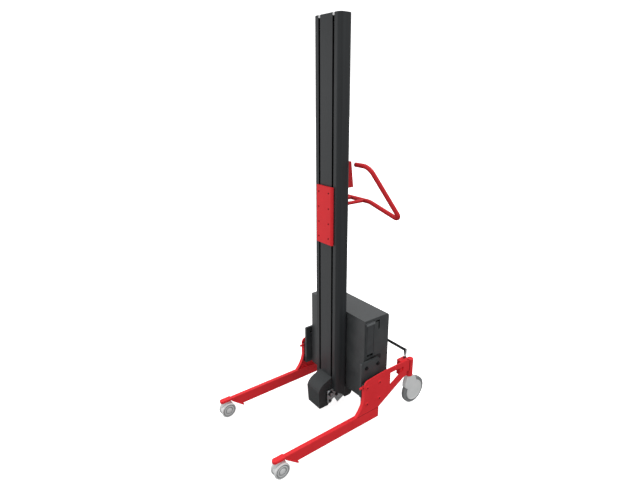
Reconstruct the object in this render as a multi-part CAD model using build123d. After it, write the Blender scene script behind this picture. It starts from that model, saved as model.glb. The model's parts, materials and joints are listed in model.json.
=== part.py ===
from build123d import *
import math
import os

# Mini stacker: a battery lift on four castors. A slotted mast stands on a housing with two legs,
# and a strap drum at its foot raises a carriage plate that takes a lifting tool.
# Millimetres. +X is the right side seen from the front, the legs point to -Y, +Z is up.
# The origin is on the floor, midway between the toe bars' tips and the back of the rear wheels.

# Clearances
RUN_FIT = 0.05        # radial gap of a shaft or stem turning in its bore
SLIDE_GAP = 0.4       # gap between pieces that slide past each other
SEAT_GAP = 0.2        # gap of a part dropped into its seat
ROLL_GAP = 0.3        # gap between curved faces of different moving pieces
SWIVEL_GAP = 1.0      # under each castor's seat

# Wheels and their places
WHEELBASE = 712.0
FRONT_WHEEL_D = 64.0
FRONT_WHEEL_W = 11.0
FRONT_TRAIL = 17.0
TOE_LEAD = 15.0       # toe bar runs on in front of the front swivel axis
REAR_WHEEL_D = 125.0
REAR_WHEEL_W = 17.0
REAR_TRAIL = 27.5
REAR_TREAD_T = 11.5
OVERALL_LENGTH = TOE_LEAD + FRONT_TRAIL + WHEELBASE + REAR_WHEEL_D / 2
FRONT_SWIVEL_Y = TOE_LEAD - OVERALL_LENGTH / 2
FRONT_AXLE_Y = FRONT_SWIVEL_Y + FRONT_TRAIL
REAR_AXLE_Y = FRONT_AXLE_Y + WHEELBASE
REAR_SWIVEL_Y = REAR_AXLE_Y - REAR_TRAIL

# Mast extrusion
MAST_REACH = 374.0    # front axle to the mast's front face
MAST_WIDTH = 149.0
MAST_DEPTH = 58.0
MAST_BOTTOM = 78.0
MAST_FOOT_RISE = 35.0  # the foot is cut on a slant, higher in front
MAST_TOP = 1591.0
MAST_CORNER = 16.0
MAST_FRONT_WALL = 5.0
MAST_WALL = 4.0
MAST_RIB = 6.0
SLOT_SPACING = 80.0
SLOT_WIDTH = 10.5
CAP_T = 4.0
CAP_NOTCH = 45.0
CAP_EDGE = 1.0
MAST_BOLT_R = 4.0
MAST_BOLT_HEAD_R = 5.5
MAST_BOLT_HEAD_H = 4.0
MAST_BOLT_X = 18.0
MAST_BOLT_INSET = 15.0  # bolts from the top and bottom of the chassis beam
MAST_FRONT_Y = FRONT_AXLE_Y + MAST_REACH
MAST_BACK_Y = MAST_FRONT_Y + MAST_DEPTH
CHANNEL_FRONT_Y = MAST_FRONT_Y + MAST_FRONT_WALL
CHANNEL_BACK_Y = MAST_BACK_Y - MAST_WALL
CHANNEL_Y = (CHANNEL_FRONT_Y + CHANNEL_BACK_Y) / 2
SLOT_X = SLOT_SPACING / 2
SLOT_EDGE = SLOT_X + SLOT_WIDTH / 2
MAST_INNER_X = MAST_WIDTH / 2 - MAST_WALL

# Straps, drum and top rollers
STRAP_W = 26.0
STRAP_T = 1.5
STRAP_X = 18.0        # middle of each strap, either side of the mast's rib
DRUM_SETBACK = 16.0   # drum axis in front of the mast face
DRUM_Z = 105.0
DRUM_CORE_R = 34.0
DRUM_SHELL_T = 3.0
DRUM_FLANGE_R = 47.0
DRUM_FLANGE_T = 2.0
WINDING_T = 7.0       # strap layers on the drum with the carriage at rest
DRUM_AXLE_R = 7.0
BEARING_W = 7.0
CORE_GAP = 2.0        # drive's ends to the bearings
TOP_ROLLER_R = 15.5
TOP_ROLLER_FLANGE = 3.5
TOP_AXLE_R = 6.0
TOP_ROLLER_DROP = 38.0
NUT_W = 8.0
NUT_AF = 21.0
AXLE_TIP = 2.0        # axle stands out of its nut
DRUM_Y = MAST_FRONT_Y - DRUM_SETBACK
DRUM_HALF = STRAP_X + STRAP_W / 2 + DRUM_FLANGE_T + 2 * ROLL_GAP
DRUM_BORE_R = DRUM_CORE_R - DRUM_SHELL_T
TOP_ROLLER_Z = MAST_TOP - TOP_ROLLER_DROP
TOP_ROLLER_Y = CHANNEL_Y

# Drum cover, winch plates and torque arms
COVER_WIDTH = 83.0
COVER_WALL = 2.4
COVER_BOTTOM = 39.0
COVER_R = 55.5
COVER_LEAN = 7.5      # the front face leans out by this much from bottom to arc
COVER_ARC_START = 165.0
COVER_ARC_END = 107.0
COVER_TOP = 172.0
COVER_FOOT = 44.0     # the flat underside is this long
COVER_RISE = 28.0     # the underside climbs by this much to the mast
WINCH_PLATE_T = 4.0
WINCH_PLATE_X = 46.0  # inner face of each plate
WINCH_TOP = 119.0
WINCH_FLANGE_W = 16.0
WINCH_FLANGE_LIFT = 6.0
LOBE_R = 13.0
LOBE_DROP = 39.0      # cover screw below the drum axis
TIP_DROP = 64.0
TIP_Y = 43.0
TAIL_DROP = 46.0
TAIL_Y = 78.0
NOTCH_RISE = 6.0      # step between the lobe and the tail
COVER_BOSS_R = 7.0
COVER_SCREW_R = 3.0
TORQUE_ARM_T = 4.0
ARM_R = 11.0
ARM_PIN_Y = 33.0      # torque arm's bolt behind the drum axis
ARM_PIN_DROP = 17.0
ARM_PIN_R = 4.0
ARM_HEAD_R = 7.2
ARM_HEAD_H = 4.0
POCKET_TOP = COVER_TOP - COVER_WALL - SLIDE_GAP
ARM_X = WINCH_PLATE_X + WINCH_PLATE_T
NUT_X = ARM_X + TORQUE_ARM_T
AXLE_END = NUT_X + NUT_W + AXLE_TIP

# Carriage
CARRIAGE_WIDTH = 100.0
CARRIAGE_T = 10.0
CARRIAGE_BOTTOM = 771.0
CARRIAGE_HEIGHT = 228.0
CARRIAGE_EDGE_R = 9.0
CARRIAGE_STANDOFF = 2.0
TOOL_HOLE_X = 60.0
TOOL_HOLE_PITCH = 60.0
TOOL_HOLE_ROWS = 4
TOOL_HOLE_R = 4.2
WEB_T = 9.5
WEB_END_INSET = 16.0
WEB_TOP_INSET = 48.0
WEB_BACK = 16.0       # web runs on behind the roller axis
WEB_ROUND = 8.0
ANCHOR_T = 14.0
ANCHOR_DEPTH = 11.0
ANCHOR_MARGIN = 1.0   # anchor is wider than the strap by this on the rib's side
ROLLER_W = 7.6
ROLLER_EDGE = 1.2
ROLLER_STANDOFF = 1.0
LOWER_ROLLER_INSET = 26.0
UPPER_ROLLER_INSET = 42.0
ROLLER_AXLE_R = 6.0
AXLE_HEAD = 3.0
AXLE_HEAD_R = 9.0
GLIDE_T = 1.6
GLIDE_W = 16.0
GLIDE_H = 40.0
GLIDE_INSET = 4.0
CARRIAGE_BACK_Y = MAST_FRONT_Y - CARRIAGE_STANDOFF
CARRIAGE_FRONT_Y = CARRIAGE_BACK_Y - CARRIAGE_T
CARRIAGE_TOP = CARRIAGE_BOTTOM + CARRIAGE_HEIGHT
WEB_BOTTOM = CARRIAGE_BOTTOM + WEB_END_INSET
WEB_TOP = CARRIAGE_TOP - WEB_TOP_INSET
ROLLER_R = (CHANNEL_BACK_Y - CHANNEL_FRONT_Y) / 2 - SLIDE_GAP
ROLLER_X = SLOT_X + WEB_T / 2 + ROLLER_STANDOFF
LOWER_ROLLER_Z = WEB_BOTTOM + LOWER_ROLLER_INSET
UPPER_ROLLER_Z = WEB_TOP - UPPER_ROLLER_INSET

# Housing, chassis beam and the trough under it
HOUSING_WIDTH = 357.2
HOUSING_DEPTH = 136.0
HOUSING_BOTTOM = 118.0
HOUSING_TOP = 476.0
HOUSING_WALL = 2.5
HOUSING_BEND_R = 14.0  # sheet bent from the top into the back
HOUSING_EDGE_R = 2.0
PANEL_T = 3.0
BEAM_DEPTH = 50.0
BEAM_BOTTOM = 196.0
BEAM_TOP = 276.0
BEAM_WALL = 4.0
FOOT_WIDTH = 124.0
FOOT_DEPTH = 40.0
FOOT_BOTTOM = 60.0
FOOT_WALL = 3.0
FOOT_R = 14.0
BOARD_W = 130.0
BOARD_H = 90.0
BOARD_T = 1.6
BOARD_STAND = 12.0
BOARD_LIFT = 40.0     # board above the chassis beam
BOARD_MARGIN = 8.0
STANDOFF_R = 3.0
SINK_INSET = 20.0
SINK_DEPTH = 18.0
SINK_H = 30.0
SINK_DROP = 10.0
CAPACITOR_R = 8.0
CAPACITOR_L = 22.0
CAPACITOR_PITCH = 32.0
CAPACITOR_LIFT = 24.0
CAPACITORS = 3
HOUSING_X = HOUSING_WIDTH / 2
HOUSING_FRONT_Y = MAST_BACK_Y
HOUSING_BACK_Y = HOUSING_FRONT_Y + HOUSING_DEPTH
BEAM_FRONT_Y = HOUSING_FRONT_Y + PANEL_T
BEAM_BACK_Y = BEAM_FRONT_Y + BEAM_DEPTH

# Side brackets
BRACKET_T = 10.0
BRACKET_GAP = 8.4     # side bracket stands off the housing by this much
BRACKET_LEAD = 30.0   # bracket front edge behind the mast's front face
BRACKET_LENGTH = 98.0
BRACKET_BOTTOM = 142.0
BRACKET_TOP = 301.0
BRACKET_R = 6.0
BRACKET_BOLT_R = 5.0
BRACKET_BOLT_HEAD_R = 8.0
BRACKET_BOLT_HEAD_H = 5.0
BRACKET_BOLT_DROP = 27.0
BRACKET_BOLT_SET = 27.0
BRACKET_BOLT_SPACING = 63.0
PAD_SIDE = 9.0        # pad's edge from its bolts
PAD_ROOT = 4.5        # pad is let into the bracket by this much
PAD_T = 19.0          # pad's face out from the bracket's
BRACKET_IN_X = HOUSING_X + BRACKET_GAP
BRACKET_OUT_X = BRACKET_IN_X + BRACKET_T
BRACKET_FRONT_Y = MAST_FRONT_Y + BRACKET_LEAD
BRACKET_BACK_Y = BRACKET_FRONT_Y + BRACKET_LENGTH

# Battery cassette, its dock and the latch slot beside it
CASSETTE_W = 49.0
CASSETTE_H = 158.0
CASSETTE_DEPTH = 112.0
CASSETTE_LIFT = 8.0   # underside above the bracket's top edge
CASSETTE_INSET = 6.0  # from the housing's front
CASSETTE_PROUD = 2.0
CASSETTE_BEVEL = 7.0
GROOVE_INSET = 6.0
GROOVE_W = 1.6
GROOVE_T = 1.2
GROOVE_LIFT = 16.0
SCOOP_R = 12.0
SCOOP_W = 35.0
DOCK_T = 6.0
DOCK_WEB = 3.0
CONTACT_T = 18.0
CONTACT_H = 79.0
GRIP_SLOT_W = 6.0
GRIP_SLOT_H = 42.0
GRIP_SLOT_L = 22.0
GRIP_SLOT_SET = 5.0
CASSETTE_BOTTOM = BRACKET_TOP + CASSETTE_LIFT
CASSETTE_TOP = CASSETTE_BOTTOM + CASSETTE_H
CASSETTE_FRONT_Y = HOUSING_FRONT_Y + CASSETTE_INSET
CASSETTE_BACK_Y = CASSETTE_FRONT_Y + CASSETTE_W
CASSETTE_OUT_X = HOUSING_X + CASSETTE_PROUD
CASSETTE_IN_X = CASSETTE_OUT_X - CASSETTE_DEPTH

# Legs and toe bars
LEG_W = 18.0
LEG_H = 48.0
LEG_WALL = 2.5
LEG_EDGE_R = 2.0
LEG_BOTTOM = 33.0
LEG_TAIL = 50.0       # leg tube runs on behind the mast's back face
LEG_NOSE = 18.0       # leg tube starts behind the front axle
NOSE_RUN = 49.0       # the nose slants back over this length
TOE_W = 24.0
TOE_T = 10.0
TOE_PROUD = 2.0
TOE_TIP_R = 11.5
TOE_EDGE_R = 2.0
FRONT_STEM_R = 5.5
FRONT_STEM_L = 7.0
STEM_ROOM = 1.0       # bore runs on past a castor's stem
PLATE_T = 6.0         # leg plate, flush with the leg tube's outer face
PLATE_IN_X = BRACKET_OUT_X + PAD_T
PLATE_OUT_X = PLATE_IN_X + PLATE_T
LEG_X = PLATE_OUT_X - LEG_W / 2
LEG_TOP = LEG_BOTTOM + LEG_H
LEG_FRONT_Y = FRONT_AXLE_Y + LEG_NOSE
LEG_BACK_Y = MAST_BACK_Y + LEG_TAIL
TOE_TOP = LEG_TOP + TOE_PROUD
TOE_BOTTOM = TOE_TOP - TOE_T

# Leg plates and their bolts
PLATE_TOP = 242.0
PLATE_FRONT_DROP = 11.0
PLATE_CORNER_R = 22.0
PLATE_LEAD = 3.5      # plate's front edge in front of the bracket's
PLATE_EDGE_H = 74.0   # upright part of the front edge
PLATE_NECK = 39.5     # reach of the curve from the front edge out along the leg
PLATE_SAG = 8.0       # bow of that curve
PLATE_SHOULDER = 116.0
PLATE_END = 37.0      # plate stops this far in front of the rear swivel axis
PLATE_HEEL = 76.0     # underside of the plate's rear end below its top
PLATE_HEEL_LENGTH = 16.0
RETURN_W = 16.0       # flange turned in along the front edge
RETURN_T = 5.0
PEG_R = 4.5
PEG_L = 15.5
PEG_DROP = 28.0       # peg below the plate's front corner
WINDOW_FROM = 0.383   # window's ends, as shares of the way from the rear bolts to the plate's end
WINDOW_TO = 0.865
WINDOW_BAR = 23.0
WINDOW_FOOT = 85.0
WINDOW_R = 2.5
LEG_BOLT_Y = 69.0
LEG_BOLT_Z = 77.0
LEG_BOLT_SET = 11.5   # behind the bracket's front edge
LEG_BOLT_RISE = 43.0  # lower row above the leg tube
LEG_BOLT_R = 6.0
LEG_BOLT_HEAD_R = 8.5
LEG_BOLT_HEAD_H = 4.0
LEG_BOLT_ROUND = 2.4
PLATE_FRONT_Y = BRACKET_FRONT_Y - PLATE_LEAD
PLATE_CORNER_Z = PLATE_TOP - PLATE_FRONT_DROP
LEG_BOLTS_Y = (BRACKET_FRONT_Y + LEG_BOLT_SET, BRACKET_FRONT_Y + LEG_BOLT_SET + LEG_BOLT_Y)
LEG_BOLTS_Z = (LEG_TOP + LEG_BOLT_RISE, LEG_TOP + LEG_BOLT_RISE + LEG_BOLT_Z)

# Rear castor heads and brake
REAR_INSET = 11.0     # rear swivel axes inside the leg plates
HEAD_R = 14.0         # stem tube
HEAD_EDGE_R = 1.5
HEAD_TOP = 230.0
HEAD_BOTTOM = 146.0
HEAD_WEB_W = 18.0
HEAD_WEB_DROP = 3.0
GUIDE_TOP = 245.0     # block in front of the tube that guides the brake link
GUIDE_BOTTOM = 177.0
GUIDE_W = 26.0
GUIDE_LENGTH = 47.0
GUIDE_SET = 71.5      # block's front end in front of the swivel axis
GUIDE_R = 6.0
GUIDE_EDGE_R = 2.0
REAR_STEM_R = 8.0
REAR_STEM_L = 62.0
BRAKE_BAR_R = 4.0
BRAKE_BAR_Z = 284.0
BRAKE_SET = 35.5      # brake links in front of the swivel axis
BRAKE_LINK_R = 2.2
BRAKE_LINK_SPREAD = 10.0
BRAKE_EYE_R = 6.5
BRAKE_EYE_W = 8.0
BRAKE_STROKE = 16.0
BRAKE_TIP = 20.0      # links' depth in their guide at rest
BRAKE_ROOM = 2.0      # guide bores run on below the pressed links
REAR_X = PLATE_IN_X - REAR_INSET
BRAKE_Y = REAR_SWIVEL_Y - BRAKE_SET
CROWN_TOP = HEAD_BOTTOM - SWIVEL_GAP

# Front castors
FRONT_HOOD_R = 29.5
FRONT_HOOD_W = 14.0
FRONT_HOOD_LIP = 2.0  # hood's lower edge below the axle
FRONT_HUB_R = 14.0
FRONT_AXLE_R = 4.0
FRONT_WHEEL_GAP = 0.5
FRONT_BOSS_R = 9.0
FRONT_AXLE_INSET = 3.0  # axle stops inside the wheel's outer face
NECK_LIFT = 6.0       # neck's front corner above the axle
WHEEL_SHOULDER = 2.0
WHEEL_CROWN = 5.0     # width of the rounded outer edge
WHEEL_RING = 8.0      # rim ring of the outer face
WHEEL_RING_STEP = 0.6
WHEEL_GROOVE = 2.0
WHEEL_GROOVE_T = 1.6
HUB_CAP_R = 10.0
HUB_CAP_STEP = 1.2
HUB_CAP_T = 1.3

# Rear castors
CROWN_LEAD = 30.5     # hood's front face in front of the swivel axis
CROWN_TAIL = 17.5     # crown's flat top behind the swivel axis
CROWN_SLOPE_RUN = 10.0
CROWN_SLOPE_RISE = 30.5
CROWN_FOOT = 32.0     # lower edge of the front face above the axle
CROWN_CHIN = 12.0     # underside runs back to the cheeks over this length
CROWN_CHIN_DROP = 10.0
CROWN_PLAN_R = 6.0
FENDER_GAP = 2.5
FENDER_BACK = 4.0     # fender's upper end behind the axle
FENDER_TOP = 66.0
FENDER_TAIL = 10.0
FENDER_TAIL_Z = 48.0
CHEEK_T = 3.0
CHEEK_GAP = 0.6
CHEEK_R = 47.0
REAR_AXLE_R = 7.0
REAR_HUB_R = 14.0
REAR_RIM = 5.0
REAR_WEB_T = 6.0
REAR_WEB_DRAFT = 3.0
TREAD_SHOULDER = 8.0

# Handle
GRIP_R = 9.0
HANDLE_TOP = 1079.0
HANDLE_TILT = 25.8
HANDLE_END_X = 68.0
HANDLE_SHOULDER_X = 139.0
HANDLE_CORNER_X = 222.5
HANDLE_CORNER_DROP = 230.0
HANDLE_BAR_X = 69.0
HANDLE_BAR_DROP = 169.3
HANDLE_SETBACK = 33.0   # top ends behind the mast's back face
SHOULDER_R = 45.0
CORNER_R = 16.0
BAR_R = 60.0
STUB_R = 7.0
STUB_X = 38.0
GRIP_CAP_L = 4.0
GRIP_CAP_R = 2.0

# Control box and its buttons
BOX_WIDTH = 80.0
BOX_BOTTOM = 988.0
BOX_TOP = 1089.0
BOX_TOP_DEPTH = 35.0
BOX_BOTTOM_DEPTH = 47.0
BOX_WALL = 2.5
BOX_EDGE_R = 2.0
BUTTON_R = 8.0
BUTTON_SPACING = 30.0
BUTTON_DROP = 62.0
BUTTON_OUT = 4.0
BUTTON_IN = 12.0
BUTTON_EDGE_R = 1.2
COLLAR_W = 2.0
COLLAR_T = 3.0
STOP_R = 14.0
STOP_STEM_R = 7.0
STOP_TRAVEL = 4.0
STOP_DROP = 27.0
STOP_HEAD_T = 9.0
STOP_EDGE_R = 4.0


def block(x0, x1, y0, y1, z0, z1):
    """Rectangular block between two corners."""
    return Pos((x0 + x1) / 2, (y0 + y1) / 2, (z0 + z1) / 2) * Box(x1 - x0, y1 - y0, z1 - z0)


def rod_x(x0, x1, y, z, r):
    """Round bar along X."""
    return Pos((x0 + x1) / 2, y, z) * Rot(0, 90, 0) * Cylinder(r, x1 - x0)


def rod_y(x, y0, y1, z, r):
    """Round bar along Y."""
    return Pos(x, (y0 + y1) / 2, z) * Rot(90, 0, 0) * Cylinder(r, y1 - y0)


def rod_z(x, y, z0, z1, r):
    """Round bar along Z."""
    return Pos(x, y, (z0 + z1) / 2) * Cylinder(r, z1 - z0)


def slab_x(sketch, x0, x1):
    """A side-view sketch, drawn in Y and Z, made thick from x0 to x1."""
    return extrude(Plane.YZ.offset(x0) * sketch, amount=x1 - x0)


def slab_z(sketch, z0, z1):
    """A plan-view sketch made thick from z0 to z1."""
    return extrude(Plane.XY.offset(z0) * sketch, amount=z1 - z0)


def turned_x(points, y, z):
    """A ring turned about an X axis from (radius, x) corners."""
    profile = make_face(Polyline([(x, radius) for radius, x in points], close=True))
    return Pos(0, y, z) * revolve(profile, axis=Axis.X)


def flip(shape):
    """The left-hand twin of a right-hand piece."""
    return mirror(shape, about=Plane.YZ)


def both(shape):
    """A piece and its left-hand twin, as separate solids of one group."""
    return [*shape.solids(), *flip(shape).solids()]


def save(name, shape):
    """Write one node, a single solid or a group of separate ones."""
    solids = [s for item in shape for s in item.solids()] if isinstance(shape, list) else shape.solids()
    node = solids[0] if len(solids) == 1 else Compound(children=list(solids))
    node.label = name
    export_step(node, os.path.join("parts", name + ".step"))


def save_pair(name, shape):
    """Write a right-hand piece and its left-hand twin as two nodes."""
    save(name + "_right", shape)
    save(name + "_left", flip(shape))


def mast_outline():
    """Plan of the mast with four wide round corners."""
    return Pos(0, (MAST_FRONT_Y + MAST_BACK_Y) / 2) * RectangleRounded(MAST_WIDTH, MAST_DEPTH, MAST_CORNER)


def mast_channel():
    """Plan of the right-hand hollow of the mast, from the middle rib to the side wall."""
    width = MAST_INNER_X - MAST_RIB / 2
    depth = CHANNEL_BACK_Y - CHANNEL_FRONT_Y
    plan = Pos(MAST_RIB / 2 + width / 2, CHANNEL_Y) * Rectangle(width, depth)
    front = plan.vertices().sort_by(Axis.X)[-2:].sort_by(Axis.Y)[0]
    plan = fillet(front, MAST_CORNER - MAST_FRONT_WALL)
    back = plan.vertices().sort_by(Axis.X)[-2:].sort_by(Axis.Y)[-1]
    return fillet(back, MAST_CORNER - MAST_WALL)


def mast_profile():
    """Slotted extrusion with a hollow each side of its rib and a slanted foot cut open for the winch."""
    plan = mast_outline()
    for side in (1, -1):
        channel = mast_channel()
        plan -= channel if side == 1 else mirror(channel, about=Plane.YZ)
        plan -= Pos(side * SLOT_X, MAST_FRONT_Y) * Rectangle(SLOT_WIDTH, 2 * MAST_FRONT_WALL)
    body = slab_z(plan, MAST_BOTTOM, MAST_TOP)
    slant = make_face(Polyline((MAST_FRONT_Y, MAST_BOTTOM), (MAST_BACK_Y, MAST_BOTTOM),
                               (MAST_FRONT_Y, MAST_BOTTOM + MAST_FOOT_RISE), close=True))
    body -= slab_x(slant, -MAST_WIDTH / 2, MAST_WIDTH / 2)
    body -= block(-SLOT_EDGE, SLOT_EDGE, MAST_FRONT_Y, CHANNEL_BACK_Y, MAST_BOTTOM, POCKET_TOP)
    wide = NUT_X + SLIDE_GAP
    body -= block(-wide, wide, MAST_FRONT_Y, CHANNEL_BACK_Y, MAST_BOTTOM, WINCH_TOP + SLIDE_GAP)
    body -= rod_x(-MAST_RIB, MAST_RIB, TOP_ROLLER_Y, TOP_ROLLER_Z, TOP_AXLE_R + RUN_FIT)
    for x, z in mast_bolt_places():
        body -= rod_y(x, CHANNEL_BACK_Y, MAST_BACK_Y, z, MAST_BOLT_R + RUN_FIT)
    return body


def mast_bolt_places():
    """Four bolts that hold the mast to the chassis beam."""
    heights = (BEAM_BOTTOM + MAST_BOLT_INSET, BEAM_TOP - MAST_BOLT_INSET)
    return [(x, z) for x in (-MAST_BOLT_X, MAST_BOLT_X) for z in heights]


def mast_bolts():
    """Round-headed bolts from inside the mast into the beam's front wall."""
    bolts = []
    for x, z in mast_bolt_places():
        bolt = rod_y(x, CHANNEL_BACK_Y, BEAM_FRONT_Y + BEAM_WALL, z, MAST_BOLT_R)
        bolts.append(bolt + rod_y(x, CHANNEL_BACK_Y - MAST_BOLT_HEAD_H, CHANNEL_BACK_Y, z, MAST_BOLT_HEAD_R))
    return bolts


def mast_cap():
    """Thin end cap, notched over both slots so that they stay open at the top."""
    plan = mast_outline()
    for side in (1, -1):
        plan -= Pos(side * SLOT_X, MAST_FRONT_Y) * Rectangle(SLOT_WIDTH, 2 * CAP_NOTCH)
    cap = slab_z(plan, MAST_TOP, MAST_TOP + CAP_T)
    return chamfer(cap.faces().sort_by(Axis.Z)[-1].outer_wire().edges(), CAP_EDGE)


def top_axle():
    """Fixed axle of the top rollers, through the rib and up to both side walls."""
    return rod_x(-MAST_INNER_X + SEAT_GAP, MAST_INNER_X - SEAT_GAP, TOP_ROLLER_Y, TOP_ROLLER_Z, TOP_AXLE_R)


def top_roller():
    """Flanged roller for one strap."""
    x0 = STRAP_X - STRAP_W / 2 - ROLL_GAP
    x1 = STRAP_X + STRAP_W / 2 + ROLL_GAP
    lip = TOP_ROLLER_R + TOP_ROLLER_FLANGE
    rim = MAST_RIB / 2 + SLIDE_GAP
    bore = TOP_AXLE_R + RUN_FIT
    points = [(bore, rim), (lip, rim), (lip, x0), (TOP_ROLLER_R, x0)]
    points += [(TOP_ROLLER_R, x1), (lip, x1), (lip, x1 + DRUM_FLANGE_T), (bore, x1 + DRUM_FLANGE_T)]
    return turned_x(points, TOP_ROLLER_Y, TOP_ROLLER_Z)


def strap_run():
    """Strap from the drum up the back of the mast and over the top roller."""
    inner = TOP_ROLLER_R + ROLL_GAP
    ring = Circle(inner + STRAP_T) - Circle(inner)
    ring &= Pos(0, inner) * Rectangle(4 * inner, 2 * inner)
    foot = DRUM_Y + DRUM_CORE_R + WINDING_T + ROLL_GAP
    head = TOP_ROLLER_Y + inner
    strip = Polyline((foot, DRUM_Z), (foot + STRAP_T, DRUM_Z), (head + STRAP_T, TOP_ROLLER_Z),
                     (head, TOP_ROLLER_Z), close=True)
    side_view = make_face(strip) + Pos(TOP_ROLLER_Y, TOP_ROLLER_Z) * ring
    return slab_x(side_view, STRAP_X - STRAP_W / 2, STRAP_X + STRAP_W / 2)


def strap_drop():
    """Strap from the top roller down to the carriage's anchor."""
    y = TOP_ROLLER_Y - TOP_ROLLER_R - ROLL_GAP
    return block(STRAP_X - STRAP_W / 2, STRAP_X + STRAP_W / 2, y - STRAP_T, y, WEB_TOP, TOP_ROLLER_Z)


def strap_drum():
    """Spool with a groove for each strap, hollow round the drive."""
    shell = rod_x(-DRUM_HALF, DRUM_HALF, DRUM_Y, DRUM_Z, DRUM_CORE_R)
    for x in (-DRUM_HALF, -DRUM_FLANGE_T / 2, DRUM_HALF - DRUM_FLANGE_T):
        shell += rod_x(x, x + DRUM_FLANGE_T, DRUM_Y, DRUM_Z, DRUM_FLANGE_R)
    return shell - rod_x(-DRUM_HALF, DRUM_HALF, DRUM_Y, DRUM_Z, DRUM_BORE_R)


def drum_bearing():
    """Ball bearing between the fixed axle and the drum's right end."""
    ring = rod_x(DRUM_HALF - BEARING_W, DRUM_HALF, DRUM_Y, DRUM_Z, DRUM_BORE_R)
    return ring - rod_x(0, DRUM_HALF, DRUM_Y, DRUM_Z, DRUM_AXLE_R + RUN_FIT)


def drive_core():
    """Geared motor inside the drum, fixed on its axle."""
    half = DRUM_HALF - BEARING_W - CORE_GAP
    core = rod_x(-half, half, DRUM_Y, DRUM_Z, DRUM_BORE_R - CORE_GAP / 2)
    return core - rod_x(-half, half, DRUM_Y, DRUM_Z, DRUM_AXLE_R + RUN_FIT)


def strap_winding():
    """Strap layers in the right-hand groove of the drum."""
    x0 = STRAP_X - STRAP_W / 2
    ring = rod_x(x0, x0 + STRAP_W, DRUM_Y, DRUM_Z, DRUM_CORE_R + WINDING_T)
    return ring - rod_x(x0, x0 + STRAP_W, DRUM_Y, DRUM_Z, DRUM_CORE_R)


def drum_axle():
    """Fixed axle of the drum, held in both winch plates."""
    return rod_x(-AXLE_END, AXLE_END, DRUM_Y, DRUM_Z, DRUM_AXLE_R)


def axle_nut():
    """Hexagon nut on the axle's right end."""
    hexagon = RegularPolygon(NUT_AF / math.sqrt(3), 6) - Circle(DRUM_AXLE_R + RUN_FIT)
    return slab_x(Pos(DRUM_Y, DRUM_Z) * hexagon, NUT_X, NUT_X + NUT_W)


def torque_arm():
    """Flat arm from the axle back to a bolt, which keeps the drive from turning."""
    angle = math.degrees(math.atan2(-ARM_PIN_DROP, ARM_PIN_Y))
    reach = math.hypot(ARM_PIN_Y, ARM_PIN_DROP)
    arm = SlotCenterToCenter(reach, 2 * ARM_R)
    arm = Pos(DRUM_Y, DRUM_Z) * Rot(0, 0, angle) * Pos(reach / 2, 0) * arm
    arm -= Pos(DRUM_Y, DRUM_Z) * Circle(DRUM_AXLE_R + RUN_FIT)
    arm -= Pos(DRUM_Y + ARM_PIN_Y, DRUM_Z - ARM_PIN_DROP) * Circle(ARM_PIN_R + RUN_FIT)
    return slab_x(arm, ARM_X, NUT_X)


def arm_bolt():
    """Hexagon bolt through the right torque arm and winch plate."""
    y = DRUM_Y + ARM_PIN_Y
    z = DRUM_Z - ARM_PIN_DROP
    head = slab_x(Pos(y, z) * RegularPolygon(ARM_HEAD_R, 6), NUT_X, NUT_X + ARM_HEAD_H)
    return head + rod_x(WINCH_PLATE_X, NUT_X, y, z, ARM_PIN_R)


def winch_plate():
    """Bearing plate with a round lobe in front, a pointed tail and a flange on the mast's back wall."""
    front_y = DRUM_Y - LOBE_R
    lobe_z = DRUM_Z - LOBE_DROP
    tail_z = DRUM_Z - TAIL_DROP
    points = [(front_y, WINCH_TOP), (front_y, lobe_z), (DRUM_Y, lobe_z - LOBE_R), (DRUM_Y + LOBE_R, lobe_z)]
    points += [(DRUM_Y + 2 * LOBE_R, lobe_z + NOTCH_RISE), (DRUM_Y + TIP_Y, DRUM_Z - TIP_DROP)]
    points += [(DRUM_Y + TAIL_Y, tail_z), (CHANNEL_BACK_Y, tail_z), (CHANNEL_BACK_Y, WINCH_TOP)]
    outline = make_face(Polyline(points, close=True))
    outline += Pos(DRUM_Y, lobe_z) * Circle(LOBE_R)
    outline -= Pos(DRUM_Y, DRUM_Z) * Circle(DRUM_AXLE_R + RUN_FIT)
    outline -= Pos(DRUM_Y, lobe_z) * Circle(COVER_SCREW_R)
    outline -= Pos(DRUM_Y + ARM_PIN_Y, DRUM_Z - ARM_PIN_DROP) * Circle(ARM_PIN_R + RUN_FIT)
    plate = slab_x(outline, WINCH_PLATE_X, ARM_X)
    z0 = MAST_BOTTOM + WINCH_FLANGE_LIFT
    return plate + block(ARM_X - WINCH_FLANGE_W, ARM_X, CHANNEL_BACK_Y - WINCH_PLATE_T, CHANNEL_BACK_Y, z0, WINCH_TOP)


def cover_view(inset):
    """Side view of the drum cover, drawn in by a wall."""
    front = DRUM_Y - COVER_R + inset
    foot = front + COVER_LEAN
    low = COVER_BOTTOM + inset
    r = COVER_R - inset
    angles = (COVER_ARC_START, (COVER_ARC_START + COVER_ARC_END) / 2, COVER_ARC_END)
    arc = [(DRUM_Y + r * math.cos(math.radians(a)), DRUM_Z + r * math.sin(math.radians(a))) for a in angles]
    back = (MAST_FRONT_Y, COVER_TOP - inset)
    line = Line((MAST_FRONT_Y, low), (foot, low))
    line += Line((foot, low), arc[0])
    line += ThreePointArc(*arc)
    line += Line(arc[2], back)
    line += Line(back, (MAST_FRONT_Y, low))
    return make_face(line)


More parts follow.
